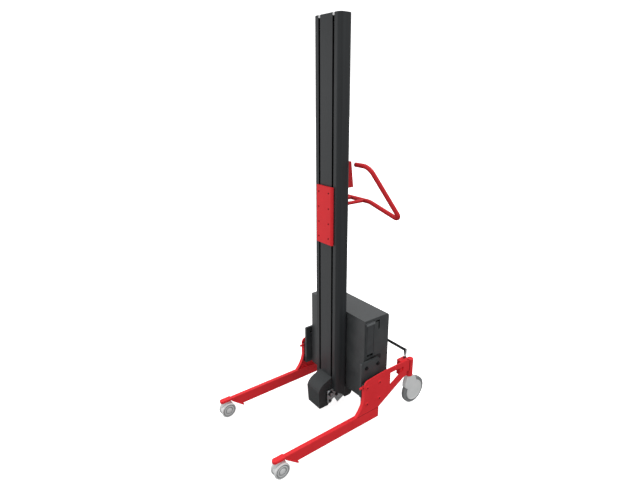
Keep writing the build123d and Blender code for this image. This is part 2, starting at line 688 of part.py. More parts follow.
def drum_cover():
    """Moulded cover over the drum, open at the back, with a boss to each winch plate."""
    half = COVER_WIDTH / 2
    inner = half - COVER_WALL
    cover = slab_x(cover_view(0), -half, half)
    cover -= slab_x(cover_view(COVER_WALL), -inner, inner)
    cover -= block(-inner, inner, MAST_FRONT_Y - COVER_WALL, MAST_FRONT_Y, COVER_BOTTOM, COVER_TOP - COVER_WALL)
    foot_y = DRUM_Y - COVER_R + COVER_LEAN + COVER_FOOT
    wedge = Polyline((foot_y, COVER_BOTTOM), (MAST_FRONT_Y, COVER_BOTTOM),
                     (MAST_FRONT_Y, COVER_BOTTOM + COVER_RISE), close=True)
    cover -= slab_x(make_face(wedge), -half, half)
    boss_z = DRUM_Z - LOBE_DROP
    for side in (1, -1):
        x0, x1 = sorted((side * inner, side * WINCH_PLATE_X))
        cover += rod_x(x0, x1, DRUM_Y, boss_z, COVER_BOSS_R)
        cover -= rod_x(x0, x1, DRUM_Y, boss_z, COVER_SCREW_R)
        cover -= rod_x(x0, x1, DRUM_Y, DRUM_Z, DRUM_AXLE_R + ROLL_GAP)
    return cover


def carriage_plate():
    """Tool plate with rounded edges and two columns of threaded holes."""
    plate = block(-CARRIAGE_WIDTH / 2, CARRIAGE_WIDTH / 2, CARRIAGE_FRONT_Y, CARRIAGE_BACK_Y,
                  CARRIAGE_BOTTOM, CARRIAGE_TOP)
    front_edges = plate.edges().filter_by(Axis.Z).sort_by(Axis.Y)[:2]
    plate = fillet(front_edges, CARRIAGE_EDGE_R)
    for x, z in tool_hole_places():
        plate -= rod_y(x, CARRIAGE_FRONT_Y, CARRIAGE_BACK_Y, z, TOOL_HOLE_R)
    return plate


def tool_hole_places():
    """Two columns of holes for lifting tools, about the plate's middle."""
    first = (CARRIAGE_BOTTOM + CARRIAGE_TOP - (TOOL_HOLE_ROWS - 1) * TOOL_HOLE_PITCH) / 2
    rows = [first + i * TOOL_HOLE_PITCH for i in range(TOOL_HOLE_ROWS)]
    return [(x, z) for x in (-TOOL_HOLE_X / 2, TOOL_HOLE_X / 2) for z in rows]


def carriage_web():
    """Web through the right slot, with a strap anchor at its top that reaches in towards the rib."""
    x0 = SLOT_X - WEB_T / 2
    x1 = SLOT_X + WEB_T / 2
    web = block(x0, x1, CARRIAGE_BACK_Y, CHANNEL_Y + WEB_BACK, WEB_BOTTOM, WEB_TOP)
    web = fillet(web.edges().filter_by(Axis.X).sort_by(Axis.Y)[-2:], WEB_ROUND)
    strap_y = TOP_ROLLER_Y - TOP_ROLLER_R - ROLL_GAP - STRAP_T / 2
    front = max(strap_y - ANCHOR_DEPTH / 2, CHANNEL_FRONT_Y + SLIDE_GAP)
    back = strap_y + ANCHOR_DEPTH / 2
    inner = STRAP_X - STRAP_W / 2 - ANCHOR_MARGIN
    web += block(inner, x0, front, back, WEB_TOP - ANCHOR_T, WEB_TOP)
    for z in (LOWER_ROLLER_Z, UPPER_ROLLER_Z):
        web -= rod_x(x0, x1, CHANNEL_Y, z, ROLLER_AXLE_R + RUN_FIT)
    return web


def carriage_axle(z):
    """Shoulder bolt for one roller, headed outside it."""
    x1 = ROLLER_X + ROLLER_W + SLIDE_GAP
    bolt = rod_x(SLOT_X - WEB_T / 2, x1, CHANNEL_Y, z, ROLLER_AXLE_R)
    return bolt + rod_x(x1, x1 + AXLE_HEAD, CHANNEL_Y, z, AXLE_HEAD_R)


def guide_roller(z):
    """Roller that fills the depth of the mast's hollow."""
    bore = ROLLER_AXLE_R + RUN_FIT
    edge = ROLLER_R - ROLLER_EDGE
    x1 = ROLLER_X + ROLLER_W
    points = [(bore, ROLLER_X), (edge, ROLLER_X), (ROLLER_R, ROLLER_X + ROLLER_EDGE)]
    points += [(ROLLER_R, x1 - ROLLER_EDGE), (edge, x1), (bore, x1)]
    return turned_x(points, CHANNEL_Y, z)


def carriage_glides():
    """Plastic pads between the tool plate and the mast's face."""
    pads = []
    for z in (CARRIAGE_BOTTOM + GLIDE_INSET, CARRIAGE_TOP - GLIDE_INSET - GLIDE_H):
        pads.append(block(-GLIDE_W / 2, GLIDE_W / 2, CARRIAGE_BACK_Y, CARRIAGE_BACK_Y + GLIDE_T, z, z + GLIDE_H))
    return pads


def case_block(x, y0, y1, z0, z1, bend):
    """Block whose top is bent round into its back."""
    view = make_face(Polyline((y0, z0), (y1, z0), (y1, z1), (y0, z1), close=True))
    corner = view.vertices().sort_by(Axis.Y)[-2:].sort_by(Axis.X)[-1]
    return slab_x(fillet(corner, bend), -x, x)


def housing_shell():
    """Folded box with a round bend over its back, open in front, cut for the beam and the battery."""
    x = HOUSING_X
    w = HOUSING_WALL
    g = SLIDE_GAP
    shell = case_block(x, HOUSING_FRONT_Y, HOUSING_BACK_Y, HOUSING_BOTTOM, HOUSING_TOP, HOUSING_BEND_R)
    sides = shell.faces().sort_by(Axis.X)
    rims = [edge for side in (sides[0], sides[-1]) for edge in side.edges()
            if edge.center().Y > HOUSING_FRONT_Y + w and edge.center().Z > HOUSING_BOTTOM + w]
    shell = fillet(rims, HOUSING_EDGE_R)
    shell -= case_block(x - w, HOUSING_FRONT_Y, HOUSING_BACK_Y - w, HOUSING_BOTTOM + w, HOUSING_TOP - w,
                        HOUSING_BEND_R - w)
    shell -= block(-x, x, BEAM_FRONT_Y - g, BEAM_BACK_Y + g, BEAM_BOTTOM - g, BEAM_TOP + g)
    shell -= block(0, x, CASSETTE_FRONT_Y - g, CASSETTE_BACK_Y + g, CASSETTE_BOTTOM - g, CASSETTE_TOP + g)
    return shell - grip_slot()


def grip_slot():
    """L-shaped latch slot in the right wall behind the battery."""
    y0 = CASSETTE_BACK_Y + GRIP_SLOT_SET
    y1 = y0 + GRIP_SLOT_L
    z1 = CASSETTE_TOP - GRIP_SLOT_SET
    x0 = HOUSING_X - 2 * HOUSING_WALL
    slot = block(x0, HOUSING_X, y0, y1, z1 - GRIP_SLOT_W, z1)
    return slot + block(x0, HOUSING_X, y1 - GRIP_SLOT_W, y1, z1 - GRIP_SLOT_H, z1)


def housing_front():
    """Flat panel that closes the housing behind the mast."""
    edge = HOUSING_WALL + SEAT_GAP
    panel = block(-HOUSING_X + edge, HOUSING_X - edge, HOUSING_FRONT_Y, HOUSING_FRONT_Y + PANEL_T,
                  HOUSING_BOTTOM + edge, HOUSING_TOP - edge)
    for x, z in mast_bolt_places():
        panel -= rod_y(x, HOUSING_FRONT_Y, HOUSING_FRONT_Y + PANEL_T, z, MAST_BOLT_R + RUN_FIT)
    return panel


def chassis_beam():
    """Square steel tube through the housing, which joins the mast and both brackets."""
    beam = block(-BRACKET_IN_X, BRACKET_IN_X, BEAM_FRONT_Y, BEAM_BACK_Y, BEAM_BOTTOM, BEAM_TOP)
    t = BEAM_WALL
    beam -= block(-BRACKET_IN_X, BRACKET_IN_X, BEAM_FRONT_Y + t, BEAM_BACK_Y - t, BEAM_BOTTOM + t, BEAM_TOP - t)
    for x, z in mast_bolt_places():
        beam -= rod_y(x, BEAM_FRONT_Y, BEAM_FRONT_Y + t, z, MAST_BOLT_R + RUN_FIT)
    return beam


def trough_block(x, y0, y1, z0, r):
    """Block under the housing with a round lower back edge."""
    trough = block(-x, x, y0, y1, z0, HOUSING_BOTTOM)
    low_back = trough.faces().sort_by(Axis.Y)[-1].edges().sort_by(Axis.Z)[0]
    return fillet(low_back, r)


def mast_foot():
    """Moulded trough under the housing, behind the mast's foot, for the drive's wires."""
    w = FOOT_WALL
    x = FOOT_WIDTH / 2
    y1 = MAST_BACK_Y + FOOT_DEPTH
    trough = trough_block(x, MAST_BACK_Y, y1, FOOT_BOTTOM, FOOT_R)
    return trough - trough_block(x - w, MAST_BACK_Y + w, y1 - w, FOOT_BOTTOM + w, FOOT_R - w)


def bracket_bolt_places():
    """Two bolts near the top of each bracket."""
    y = BRACKET_FRONT_Y + BRACKET_BOLT_SET
    z = BRACKET_TOP - BRACKET_BOLT_DROP
    return [(y, z), (y + BRACKET_BOLT_SPACING, z)]


def leg_bolt_places():
    """Four bolts of each leg plate."""
    return [(y, z) for y in LEG_BOLTS_Y for z in LEG_BOLTS_Z]


def side_bracket():
    """Thick plate on the beam's end, with a raised pad that the leg plate bolts to."""
    plate = block(BRACKET_IN_X, BRACKET_OUT_X, BRACKET_FRONT_Y, BRACKET_BACK_Y, BRACKET_BOTTOM, BRACKET_TOP)
    plate = fillet(plate.edges().filter_by(Axis.X), BRACKET_R)
    y0 = LEG_BOLTS_Y[0] - PAD_SIDE
    y1 = LEG_BOLTS_Y[1] + PAD_SIDE
    z0 = LEG_BOLTS_Z[0] - PAD_SIDE
    z1 = LEG_BOLTS_Z[1] + PAD_SIDE
    plate += block(BRACKET_OUT_X - PAD_ROOT, PLATE_IN_X, y0, y1, z0, z1)
    for y, z in leg_bolt_places():
        plate -= rod_x(BRACKET_OUT_X, PLATE_IN_X, y, z, LEG_BOLT_R + RUN_FIT)
    for y, z in bracket_bolt_places():
        plate -= rod_x(BRACKET_IN_X, BRACKET_OUT_X, y, z, BRACKET_BOLT_R + RUN_FIT)
    return plate


def bracket_bolts():
    """Hexagon bolts in the right bracket."""
    bolts = []
    for y, z in bracket_bolt_places():
        bolt = rod_x(BRACKET_IN_X, BRACKET_OUT_X, y, z, BRACKET_BOLT_R)
        head = slab_x(Pos(y, z) * RegularPolygon(BRACKET_BOLT_HEAD_R, 6), BRACKET_OUT_X,
                      BRACKET_OUT_X + BRACKET_BOLT_HEAD_H)
        bolts.append(bolt + head)
    return bolts


def leg_bolts():
    """Button-head bolts through the right leg plate and into the bracket's pad."""
    bolts = []
    for y, z in leg_bolt_places():
        bolt = rod_x(BRACKET_OUT_X, PLATE_OUT_X, y, z, LEG_BOLT_R)
        head = rod_x(PLATE_OUT_X, PLATE_OUT_X + LEG_BOLT_HEAD_H, y, z, LEG_BOLT_HEAD_R)
        rim = head.edges().filter_by(GeomType.CIRCLE).sort_by(Axis.X)[-1]
        bolts.append(bolt + fillet(rim, LEG_BOLT_ROUND))
    return bolts


def leg_tube():
    """Flat tube with a slanted nose, closed in front and open behind."""
    low_front = LEG_FRONT_Y + NOSE_RUN
    view = make_face(Polyline((LEG_FRONT_Y, LEG_TOP), (LEG_FRONT_Y, TOE_BOTTOM), (low_front, LEG_BOTTOM),
                              (LEG_BACK_Y, LEG_BOTTOM), (LEG_BACK_Y, LEG_TOP), close=True))
    x0 = LEG_X - LEG_W / 2
    tube = slab_x(view, x0, x0 + LEG_W)
    tube = fillet(tube.edges().filter_by(Axis.Y), LEG_EDGE_R)
    t = LEG_WALL
    return tube - block(x0 + t, x0 + LEG_W - t, low_front + t, LEG_BACK_Y, LEG_BOTTOM + t, LEG_TOP - t)


def toe_bar():
    """Flat bar on the leg's nose with a round end over the front castor."""
    y0 = FRONT_SWIVEL_Y - TOE_LEAD
    bar = block(LEG_X - TOE_W / 2, LEG_X + TOE_W / 2, y0, LEG_FRONT_Y, TOE_BOTTOM, TOE_TOP)
    bar = fillet(bar.edges().filter_by(Axis.Z).sort_by(Axis.Y)[:2], TOE_TIP_R)
    bar = fillet(bar.faces().sort_by(Axis.Z)[-1].outer_wire().edges(), TOE_EDGE_R)
    bore_top = TOE_BOTTOM + FRONT_STEM_L + STEM_ROOM
    return bar - rod_z(LEG_X, FRONT_SWIVEL_Y, TOE_BOTTOM, bore_top, FRONT_STEM_R + RUN_FIT)


def plate_outline():
    """Side view of a leg plate: round front corner, swept front edge down to the leg, slanted underside."""
    front = PLATE_FRONT_Y
    corner = PLATE_CORNER_Z
    edge_z = corner - PLATE_EDGE_H
    neck = (front - PLATE_NECK, LEG_TOP)
    chord = math.hypot(PLATE_NECK, edge_z - LEG_TOP)
    bow = PLATE_SAG / chord
    middle = (front - PLATE_NECK / 2 + bow * (edge_z - LEG_TOP), (edge_z + LEG_TOP) / 2 - bow * PLATE_NECK)
    end = plate_end()
    line = Line((front, corner), (front, edge_z))
    line += ThreePointArc((front, edge_z), middle, neck)
    line += Polyline(neck, (LEG_BACK_Y, LEG_TOP), plate_heel(), (end, plate_heel()[1]),
                     (end, PLATE_TOP), (front + PLATE_SHOULDER, PLATE_TOP), (front, corner))
    outline = make_face(line)
    tip = [v for v in outline.vertices() if abs(v.X - front) < RUN_FIT and abs(v.Y - corner) < RUN_FIT]
    return fillet(tip, PLATE_CORNER_R)


def plate_end():
    """Rear end of a leg plate, in front of the castor's stem tube."""
    return REAR_SWIVEL_Y - PLATE_END


def plate_heel():
    """Lower rear corner of a leg plate, where its slanted underside ends."""
    return plate_end() - PLATE_HEEL_LENGTH, PLATE_TOP - PLATE_HEEL


def leg_plate():
    """Side plate from the leg up to the rear castor, with a window, a flange along its front edge and a peg."""
    outline = plate_outline()
    view = outline - plate_window()
    for y, z in leg_bolt_places():
        view -= Pos(y, z) * Circle(LEG_BOLT_R + RUN_FIT)
    plate = slab_x(view, PLATE_IN_X, PLATE_OUT_X)
    inner = PLATE_OUT_X - RETURN_W
    front = PLATE_FRONT_Y
    top = PLATE_CORNER_Z - PLATE_CORNER_R
    reach = PLATE_NECK + RETURN_T
    edge = outline - Pos(RETURN_T, 0) * outline
    edge &= Pos(front + RETURN_T - reach / 2, (LEG_TOP + top) / 2) * Rectangle(reach, top - LEG_TOP)
    plate += slab_x(edge, inner, PLATE_OUT_X)
    return plate + rod_y(inner + PEG_R, front - PEG_L, front + RETURN_T, PLATE_CORNER_Z - PEG_DROP, PEG_R)


def plate_window():
    """Four-sided window, its lower edge along the plate's underside."""
    bolts = LEG_BOLTS_Y[1]
    left = bolts + WINDOW_FROM * (plate_end() - bolts)
    right = bolts + WINDOW_TO * (plate_end() - bolts)
    low = PLATE_TOP - WINDOW_FOOT
    high = PLATE_TOP - WINDOW_BAR
    heel_y, heel_z = plate_heel()
    slope = (heel_z - LEG_TOP) / (heel_y - LEG_BACK_Y)
    window = make_face(Polyline((left, low), (left, high), (right, high),
                                (right, low + (right - left) * slope), close=True))
    return fillet(window.vertices(), WINDOW_R)


def brake_link_places():
    """Two link rods beside each other along Y."""
    return (BRAKE_Y - BRAKE_LINK_SPREAD / 2, BRAKE_Y + BRAKE_LINK_SPREAD / 2)


def castor_head():
    """Stem tube with a brake guide block in front of it, joined by a web."""
    front = REAR_SWIVEL_Y - GUIDE_SET
    back = front + GUIDE_LENGTH
    guide = block(PLATE_IN_X - GUIDE_W, PLATE_IN_X, front, back, GUIDE_BOTTOM, GUIDE_TOP)
    guide = fillet(guide.edges().filter_by(Axis.Z), GUIDE_R)
    guide = fillet(guide.faces().sort_by(Axis.Z)[-1].outer_wire().edges(), GUIDE_EDGE_R)
    tube = rod_z(REAR_X, REAR_SWIVEL_Y, HEAD_BOTTOM, HEAD_TOP, HEAD_R)
    tube = fillet(tube.edges().filter_by(GeomType.CIRCLE).sort_by(Axis.Z)[-1], HEAD_EDGE_R)
    half = HEAD_WEB_W / 2
    head = guide + tube
    head += block(REAR_X - half, REAR_X + half, back - GUIDE_R, REAR_SWIVEL_Y, GUIDE_BOTTOM, HEAD_TOP - HEAD_WEB_DROP)
    head -= rod_z(REAR_X, REAR_SWIVEL_Y, HEAD_BOTTOM, HEAD_BOTTOM + REAR_STEM_L + STEM_ROOM, REAR_STEM_R + RUN_FIT)
    floor = GUIDE_TOP - BRAKE_TIP - BRAKE_STROKE - BRAKE_ROOM
    for y in brake_link_places():
        head -= rod_z(REAR_X, y, floor, GUIDE_TOP, BRAKE_LINK_R + RUN_FIT)
    return head


def brake_bar():
    """Foot bar across the back with a two-rod link down into each castor head."""
    half = BRAKE_EYE_W / 2
    bar = rod_x(-REAR_X - half, REAR_X + half, BRAKE_Y, BRAKE_BAR_Z, BRAKE_BAR_R)
    for x in (-REAR_X, REAR_X):
        bar += rod_x(x - half, x + half, BRAKE_Y, BRAKE_BAR_Z, BRAKE_EYE_R)
        for y in brake_link_places():
            bar += rod_z(x, y, GUIDE_TOP - BRAKE_TIP, BRAKE_BAR_Z, BRAKE_LINK_R)
    return bar


def front_hood():
    """Half-round hood between the twin wheels, with a hub, a stem above and the axle through it."""
    axle_z = FRONT_WHEEL_D / 2
    half = FRONT_HOOD_W / 2
    top = TOE_BOTTOM - SWIVEL_GAP
    r = FRONT_HOOD_R
    body = rod_x(LEG_X - half, LEG_X + half, FRONT_AXLE_Y, axle_z, r)
    body -= block(LEG_X - half, LEG_X + half, FRONT_AXLE_Y - r, FRONT_AXLE_Y + r, 0, axle_z - FRONT_HOOD_LIP)
    body += rod_x(LEG_X - half, LEG_X + half, FRONT_AXLE_Y, axle_z, FRONT_HUB_R)
    neck = make_face(Polyline((FRONT_SWIVEL_Y - FRONT_BOSS_R, top), (FRONT_SWIVEL_Y - FRONT_BOSS_R, axle_z + NECK_LIFT),
                              (FRONT_AXLE_Y, axle_z), (FRONT_AXLE_Y + r / 2, axle_z + r / 2),
                              (FRONT_SWIVEL_Y + FRONT_BOSS_R, top), close=True))
    body += slab_x(neck, LEG_X - half, LEG_X + half)
    body += rod_z(LEG_X, FRONT_SWIVEL_Y, FRONT_WHEEL_D + ROLL_GAP, top, FRONT_BOSS_R)
    body += rod_z(LEG_X, FRONT_SWIVEL_Y, top, TOE_BOTTOM + FRONT_STEM_L, FRONT_STEM_R)
    reach = half + FRONT_WHEEL_GAP + FRONT_WHEEL_W - FRONT_AXLE_INSET
    return body + rod_x(LEG_X - reach, LEG_X + reach, FRONT_AXLE_Y, axle_z, FRONT_AXLE_R)


def front_wheel():
    """One wheel of the right twin castor: round shoulders and a stepped outer face."""
    r = FRONT_WHEEL_D / 2
    x0 = LEG_X + FRONT_HOOD_W / 2 + FRONT_WHEEL_GAP
    x1 = x0 + FRONT_WHEEL_W
    s = WHEEL_SHOULDER
    bore = FRONT_AXLE_R + RUN_FIT
    ring_x = x1 - WHEEL_RING_STEP
    ring_r = r - WHEEL_RING
    groove_x = x1 - WHEEL_GROOVE_T
    groove_r = ring_r - WHEEL_GROOVE
    cap_x = x1 - HUB_CAP_STEP
    points = [(bore, x0), (r - s, x0), (r, x0 + s), (r, x1 - WHEEL_CROWN), (r - s, x1 - s), (r - WHEEL_CROWN, ring_x)]
    points += [(ring_r, ring_x), (ring_r, groove_x), (groove_r, groove_x), (groove_r - s / 2, x1)]
    points += [(HUB_CAP_R + s / 2, x1), (HUB_CAP_R, cap_x), (0, cap_x), (0, cap_x - HUB_CAP_T), (bore, cap_x - HUB_CAP_T)]
    return turned_x(points, FRONT_AXLE_Y, r)


def front_wheels(shape):
    """Both wheels of one front castor."""
    return [shape, Pos(2 * LEG_X, 0, 0) * flip(shape)]


def rear_hood():
    """Swivel hood of the right rear castor: crown, fender over the tread and a round cheek on each side."""
    axle_z = REAR_WHEEL_D / 2
    inside = REAR_WHEEL_W / 2 + CHEEK_GAP
    half = inside + CHEEK_T
    top = CROWN_TOP - axle_z
    front = -REAR_TRAIL - CROWN_LEAD
    fender = make_face(Polyline((front + CROWN_CHIN, CROWN_FOOT - CROWN_CHIN_DROP), (front, CROWN_FOOT),
                                (front, top - CROWN_SLOPE_RISE), (front + CROWN_SLOPE_RUN, top),
                                (-REAR_TRAIL + CROWN_TAIL, top), (FENDER_BACK, FENDER_TOP),
                                (FENDER_TAIL, FENDER_TAIL_Z), (0, 0), close=True))
    place = Pos(REAR_AXLE_Y, axle_z)
    crown = slab_x(place * fender, REAR_X - half, REAR_X + half)
    nose = crown.edges().filter_by(Axis.X, reverse=True).sort_by(Axis.Y)
    nose = [e for e in nose if e.center().Y < REAR_AXLE_Y + front + CROWN_SLOPE_RUN and e.center().Z > axle_z + CROWN_FOOT]
    hood = fillet(nose, CROWN_PLAN_R)
    hood += slab_x(place * Circle(CHEEK_R), REAR_X - half, REAR_X + half)
    hood += rod_z(REAR_X, REAR_SWIVEL_Y, CROWN_TOP - CHEEK_T, HEAD_BOTTOM + REAR_STEM_L, REAR_STEM_R)
    hood -= rod_x(REAR_X - inside, REAR_X + inside, REAR_AXLE_Y, axle_z, axle_z + FENDER_GAP)
    reach = inside + CHEEK_T / 2
    return hood + rod_x(REAR_X - reach, REAR_X + reach, REAR_AXLE_Y, axle_z, REAR_AXLE_R)


def rear_wheel():
    """Wheel body of the right rear castor: hub, thin web and rim."""
    r = REAR_WHEEL_D / 2 - REAR_TREAD_T
    half = REAR_WHEEL_W / 2
    rim = r - REAR_RIM
    web = REAR_WEB_T / 2
    draft = REAR_WEB_DRAFT
    points = [(REAR_AXLE_R + RUN_FIT, -half), (REAR_HUB_R, -half), (REAR_HUB_R + draft, -web)]
    points += [(rim - draft, -web), (rim, -half), (r, -half)]
    points += [(radius, -x) for radius, x in reversed(points)]
    return Pos(REAR_X, 0, 0) * turned_x(points, REAR_AXLE_Y, REAR_WHEEL_D / 2)


def rear_tread():
    """Moulded tread with broad round shoulders."""
    r = REAR_WHEEL_D / 2
    half = REAR_WHEEL_W / 2
    inner = r - REAR_TREAD_T
    low = r - TREAD_SHOULDER
    profile = Line((-half, inner), (-half, low))
    profile += ThreePointArc((-half, low), (0, r), (half, low))
    profile += Polyline((half, low), (half, inner), (-half, inner))
    return Pos(REAR_X, REAR_AXLE_Y, r) * revolve(make_face(profile), axis=Axis.X)


def handle_plane():
    """Plane of the handle: x across, y down the slope from its top ends."""
    tilt = math.radians(HANDLE_TILT)
    down = (0, math.sin(tilt), -math.cos(tilt))
    normal = Vector(1, 0, 0).cross(Vector(*down))
    return Plane(origin=(0, MAST_BACK_Y + HANDLE_SETBACK, HANDLE_TOP), x_dir=(1, 0, 0), z_dir=normal)


def handle():
    """Bent tube with two grips and a low cross bar, welded to two stubs on the mast."""
    right = [(HANDLE_END_X, 0), (HANDLE_SHOULDER_X, 0), (HANDLE_CORNER_X, HANDLE_CORNER_DROP),
             (HANDLE_BAR_X, HANDLE_BAR_DROP)]
    left = [(-x, y) for x, y in reversed(right)]
    radii = [SHOULDER_R, CORNER_R, BAR_R]
    plane = handle_plane()
    corners = [plane.from_local_coords((x, y, 0)) for x, y in right + left]
    path = FilletPolyline(*corners, radius=radii + radii[::-1])
    section = Plane(origin=path @ 0, z_dir=path % 0) * Circle(GRIP_R)
    tube = sweep(section, path=path)
    bar = plane.from_local_coords((0, HANDLE_BAR_DROP, 0))
    for x in (-STUB_X, STUB_X):
        tube += rod_y(x, MAST_BACK_Y, bar.Y, bar.Z, STUB_R)
    return tube


def handle_cap():
    """Plug on the right free end of the handle."""
    end = handle_plane().from_local_coords((HANDLE_END_X, 0, 0))
    cap = rod_x(end.X - GRIP_CAP_L, end.X, end.Y, end.Z, GRIP_R)
    return fillet(cap.edges().sort_by(Axis.X)[0], GRIP_CAP_R)


def box_view(wall):
    """Side view of the wedge-shaped control box, drawn in by a wall."""
    top = BOX_TOP - wall
    low = BOX_BOTTOM + wall
    back_top = MAST_BACK_Y + BOX_TOP_DEPTH - wall
    back_low = MAST_BACK_Y + BOX_BOTTOM_DEPTH - wall
    return make_face(Polyline((MAST_BACK_Y, low), (back_low, low), (back_top, top), (MAST_BACK_Y, top), close=True))


def panel_plane(drop):
    """Plane on the control box's slanted face, at a distance below its top edge, pointing out."""
    run = BOX_BOTTOM_DEPTH - BOX_TOP_DEPTH
    rise = BOX_TOP - BOX_BOTTOM
    y = MAST_BACK_Y + BOX_TOP_DEPTH + run * drop / rise
    return Plane(origin=(0, y, BOX_TOP - drop), x_dir=(-1, 0, 0), z_dir=(0, rise, run))


def control_box():
    """Folded wedge box on the mast's back, bored for the buttons."""
    half = BOX_WIDTH / 2
    box = slab_x(box_view(0), -half, half)
    box = fillet(box.faces().sort_by(Axis.Y)[-1].edges(), BOX_EDGE_R)
    box -= slab_x(box_view(BOX_WALL), -half + BOX_WALL, half - BOX_WALL)
    depth = 4 * (BOX_WALL + BOX_EDGE_R)
    for x in (-BUTTON_SPACING / 2, BUTTON_SPACING / 2):
        box -= panel_plane(BUTTON_DROP) * Pos(x, 0, 0) * Cylinder(BUTTON_R + SLIDE_GAP, depth)
    return box - panel_plane(STOP_DROP) * Cylinder(STOP_STEM_R + SLIDE_GAP, depth)


def button(x):
    """Round push button with a collar inside the box."""
    length = BUTTON_OUT + BUTTON_IN
    cap = Pos(x, 0, BUTTON_OUT - length / 2) * Cylinder(BUTTON_R, length)
    cap = fillet(cap.edges().sort_by(Axis.Z)[-1], BUTTON_EDGE_R)
    collar_z = -BOX_WALL - SLIDE_GAP - COLLAR_T / 2
    return panel_plane(BUTTON_DROP) * (cap + Pos(x, 0, collar_z) * Cylinder(BUTTON_R + COLLAR_W, COLLAR_T))


def stop_button():
    """Mushroom-head stop button."""
    base = STOP_TRAVEL + SLIDE_GAP
    head = Pos(0, 0, base + STOP_HEAD_T / 2) * Cylinder(STOP_R, STOP_HEAD_T)
    head = fillet(head.edges().sort_by(Axis.Z)[-1], STOP_EDGE_R)
    stem_l = base + BUTTON_IN
    stem = Pos(0, 0, base - stem_l / 2) * Cylinder(STOP_STEM_R, stem_l)
    return panel_plane(STOP_DROP) * (head + stem)


def battery_cassette():
    """Removable battery with a bevelled top, two upright grooves and a grip scoop."""
    x1 = CASSETTE_OUT_X
    body = block(CASSETTE_IN_X, x1, CASSETTE_FRONT_Y, CASSETTE_BACK_Y, CASSETTE_BOTTOM, CASSETTE_TOP)
    outer = body.faces().sort_by(Axis.X)[-1].edges()
    body = chamfer(outer.filter_by(Axis.Y).sort_by(Axis.Z)[-1], CASSETTE_BEVEL)
    for y in (CASSETTE_FRONT_Y + GROOVE_INSET, CASSETTE_BACK_Y - GROOVE_INSET):
        body -= block(x1 - GROOVE_T, x1, y - GROOVE_W / 2, y + GROOVE_W / 2,
                      CASSETTE_BOTTOM + GROOVE_LIFT, CASSETTE_TOP - CASSETTE_BEVEL)
    middle = (CASSETTE_FRONT_Y + CASSETTE_BACK_Y) / 2
    return body - rod_y(x1, middle - SCOOP_W / 2, middle + SCOOP_W / 2, CASSETTE_BOTTOM, SCOOP_R)


def battery_dock():
    """Tray on the beam that the battery slides into, with the contact block at its inner end."""
    x0 = CASSETTE_IN_X - CONTACT_T
    x1 = HOUSING_X - HOUSING_WALL - SEAT_GAP
    floor = CASSETTE_BOTTOM - ROLL_GAP
    tray = block(x0, x1, CASSETTE_FRONT_Y, CASSETTE_BACK_Y, BEAM_TOP, floor)
    tray -= block(CASSETTE_IN_X + DOCK_WEB, x1, CASSETTE_FRONT_Y + DOCK_WEB, CASSETTE_BACK_Y - DOCK_WEB,
                  BEAM_TOP, floor - DOCK_T)
    return tray + block(x0, CASSETTE_IN_X - ROLL_GAP, CASSETTE_FRONT_Y, CASSETTE_BACK_Y, floor, floor + CONTACT_H)


def control_board():
    """Drive electronics on standoffs at the housing's back wall."""
    y1 = HOUSING_BACK_Y - HOUSING_WALL
    y0 = y1 - BOARD_STAND - BOARD_T
    x0 = -HOUSING_X / 2 - BOARD_W / 2
    x1 = x0 + BOARD_W
    z0 = BEAM_TOP + BOARD_LIFT
    z1 = z0 + BOARD_H
    board = block(x0, x1, y0, y0 + BOARD_T, z0, z1)
    for x in (x0 + BOARD_MARGIN, x1 - BOARD_MARGIN):
        for z in (z0 + BOARD_MARGIN, z1 - BOARD_MARGIN):
            board += rod_y(x, y0 + BOARD_T, y1, z, STANDOFF_R)
    sink_z = z1 - SINK_DROP - SINK_H
    board += block(x0 + SINK_INSET, x1 - SINK_INSET, y0 - SINK_DEPTH, y0, sink_z, sink_z + SINK_H)
    first = (x0 + x1 - (CAPACITORS - 1) * CAPACITOR_PITCH) / 2
    for i in range(CAPACITORS):
        board += rod_y(first + CAPACITOR_PITCH * i, y0 - CAPACITOR_L, y0, z0 + CAPACITOR_LIFT, CAPACITOR_R)
    return board


os.makedirs("parts", exist_ok=True)

save("mast_profile", mast_profile())
save("mast_cap", mast_cap())
save("mast_bolts", mast_bolts())
save("top_axle", top_axle())
save("top_rollers", both(top_roller()))
save("strap_run", both(strap_run()))
save("strap_drop", both(strap_drop()))
save("strap_drum", strap_drum())
save("drum_bearings", both(drum_bearing()))
save("strap_winding", both(strap_winding()))
save("drive_core", drive_core())
save("drum_axle", drum_axle())
save("axle_nuts", both(axle_nut()))
save("torque_arms", both(torque_arm()))
save("arm_bolts", both(arm_bolt()))
save_pair("winch_plate", winch_plate())
save("drum_cover", drum_cover())

save("carriage_plate", carriage_plate())
save("carriage_webs", both(carriage_web()))
save("carriage_glides", carriage_glides())
save("carriage_axles", both(carriage_axle(LOWER_ROLLER_Z)) + both(carriage_axle(UPPER_ROLLER_Z)))
save("lower_rollers", both(guide_roller(LOWER_ROLLER_Z)))
save("upper_rollers", both(guide_roller(UPPER_ROLLER_Z)))

save("housing_shell", housing_shell())
save("housing_front", housing_front())
save("chassis_beam", chassis_beam())
save("mast_foot", mast_foot())
save("control_board", control_board())
save("battery_dock", battery_dock())
save("battery_cassette", battery_cassette())
save_pair("side_bracket", side_bracket())
save("bracket_bolts", [b for bolt in bracket_bolts() for b in both(bolt)])

save_pair("leg_tube", leg_tube())
save_pair("toe_bar", toe_bar())
save_pair("leg_plate", leg_plate())
save("leg_bolts", [b for bolt in leg_bolts() for b in both(bolt)])
save_pair("castor_head", castor_head())
save("brake_bar", brake_bar())

FRONT_TWIN = front_wheels(front_wheel())
save_pair("front_hood", front_hood())
save("front_wheels_right", FRONT_TWIN)
save("front_wheels_left", [flip(wheel) for wheel in FRONT_TWIN])
save_pair("rear_hood", rear_hood())
save_pair("rear_wheel", rear_wheel())
save_pair("rear_tread", rear_tread())

